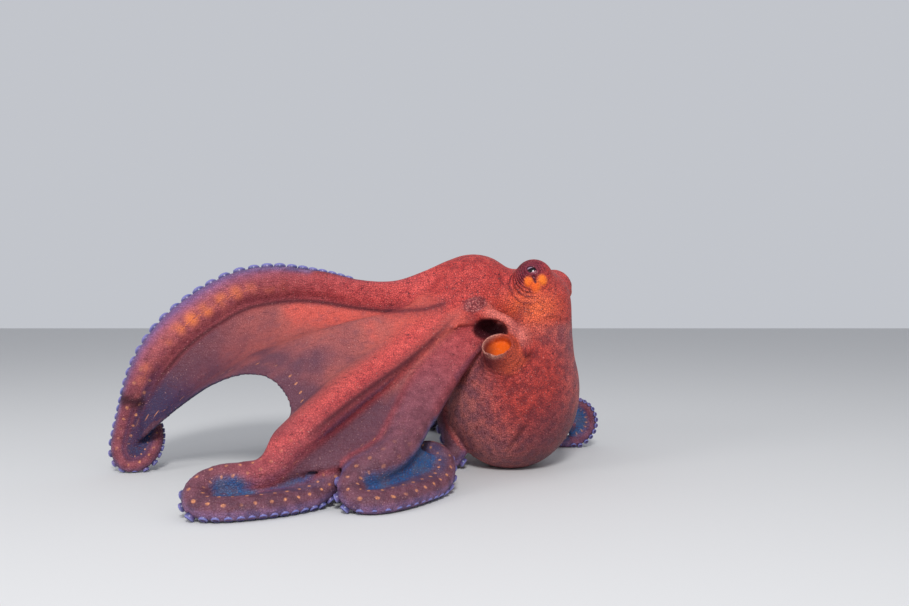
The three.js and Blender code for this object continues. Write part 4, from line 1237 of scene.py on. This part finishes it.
painted = lay("GeometryNodeSetMaterial", {"Geometry": real.outputs["Geometry"], "Material": cups.material})
lay("NodeGroupOutput", {"Geometry": painted.outputs["Geometry"]})

modifier = rows.modifiers.new("cups", "NODES")
modifier.node_group = tree
modifier[size_socket.identifier], modifier[vary_socket.identifier] = CUP_SCALE
made = bpy.data.meshes.new_from_object(rows.evaluated_get(bpy.context.evaluated_depsgraph_get()))
rows.modifiers.clear()
rows.data = made
bpy.data.objects.remove(cup)
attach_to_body(rows, "root")

# ---------- the eyes ----------
# Two firm balls, each held in its mound by the lids so that only an almond of it shows: a dark red iris with
# a black slit of a pupil, and a painted glint along its upper edge. Each is a smooth ball that keeps its own
# coordinates, which place the pupil.
EYE_RADIUS = 7.5
EYE_OFFSET = 6.8  # from the mound's middle to the ball's
EYE_STEPS = 48
EYE_TILT = 0.42  # how far the pupil's bar is turned from level, in radians
PUPIL_HALF = (2.75, 1.5)

iris = Finish("eyeball")
aside, above, _ = iris.parts("gaze")
powers = [iris.math("POWER", iris.math("ABSOLUTE", iris.math("DIVIDE", value, half)), 3.0)
          for value, half in zip((aside, above), PUPIL_HALF)]
grain = iris.ramp(iris.noise(iris.place(), 700), 0.4, 0.6)
iris.base = iris.mix(grain, rgb(70, 26, 36), rgb(104, 44, 48))
iris.paint(iris.ramp(above, -1.1, -1.7), rgb(150, 92, 104))
# painted glint: a pale line along the pupil's upper edge
iris.paint(iris.ramp(above, 1.5, 1.8), rgb(140, 120, 140))
iris.paint(iris.ramp(iris.math("ADD", *powers), 1.2, 0.9), (0.002, 0.002, 0.004))
iris.set("Base Color", iris.base)
iris.set("Roughness", 0.2)
iris.set("Specular IOR Level", 0.25)
iris.set("Coat Weight", 0.15)
iris.set("Coat Roughness", 0.03)

shape = bmesh.new()
bmesh.ops.create_uvsphere(shape, u_segments=EYE_STEPS, v_segments=EYE_STEPS, radius=EYE_RADIUS)
ball = np.array([vert.co for vert in shape.verts])
ball_faces = [[vert.index for vert in face.verts] for face in shape.faces]
shape.free()
for side_name in EYES:
    mound, gaze, level, rise = eye_frame(side_name)
    turn = -EYE_TILT if side_name == "left" else EYE_TILT
    along_bar = level * math.cos(turn) + rise * math.sin(turn)
    across_bar = rise * math.cos(turn) - level * math.sin(turn)
    places = mound + gaze * EYE_OFFSET + ball @ np.stack([along_bar, across_bar, gaze])
    eyeball = mesh_piece("eyeball_" + side_name, places, ball_faces)
    give(eyeball.data, "gaze", ball)
    eyeball.data.materials.append(iris.material)
    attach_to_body(eyeball, "root")
    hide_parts("eye_" + side_name)

# ---------- floor, light and camera ----------
# The display: a plain pale floor, soft light from a key lamp above the front and a weaker one on the left,
# and a camera level with the crown, far enough off that the whole animal is in view.
CAMERA_FROM = (0, -560, 121)
LENS = 29.9802
LAMPS = (("key", (0.1, -1.15, 0.95), 0.3, 15.5), ("fill", (-0.9, -0.7, 0.6), 0.4, 3))  # place, size, power
LAMPS_AIM = (0, 0, 0.06)

floor_mesh = bpy.data.meshes.new("floor")
floor_mesh.from_pydata([(-3, -3, 0), (3, -3, 0), (3, 3, 0), (-3, 3, 0)], [], [(0, 1, 2, 3)])
floor = bpy.data.objects.new("floor", floor_mesh)
bpy.context.scene.collection.objects.link(floor)
floor_finish = Finish("floor")
floor_finish.set("Base Color", (0.6, 0.6, 0.6))
floor_finish.set("Roughness", 0.8)
floor_mesh.materials.append(floor_finish.material)

camera_data = bpy.data.cameras.new("camera")
camera_data.sensor_width = 36
camera_data.lens = LENS
camera = bpy.data.objects.new("camera", camera_data)
camera.location = (np.array(CAMERA_FROM) + SHIFT) * 0.001
camera.rotation_euler = (math.pi / 2, 0, 0)
bpy.context.scene.collection.objects.link(camera)
bpy.context.scene.camera = camera
bpy.context.scene.view_settings.view_transform = "Standard"

world = bpy.data.worlds.new("studio")
world.use_nodes = True
background = world.node_tree.nodes["Background"].inputs
background["Color"].default_value = (0.9, 0.93, 1.0, 1)
background["Strength"].default_value = 0.6
bpy.context.scene.world = world
for name, place, size, power in LAMPS:
    light_data = bpy.data.lights.new(name, "AREA")
    light_data.size = size
    light_data.energy = power
    light = bpy.data.objects.new(name, light_data)
    light.location = place
    light.rotation_euler = (Vector(LAMPS_AIM) - Vector(place)).to_track_quat("-Z", "Y").to_euler()
    bpy.context.scene.collection.objects.link(light)
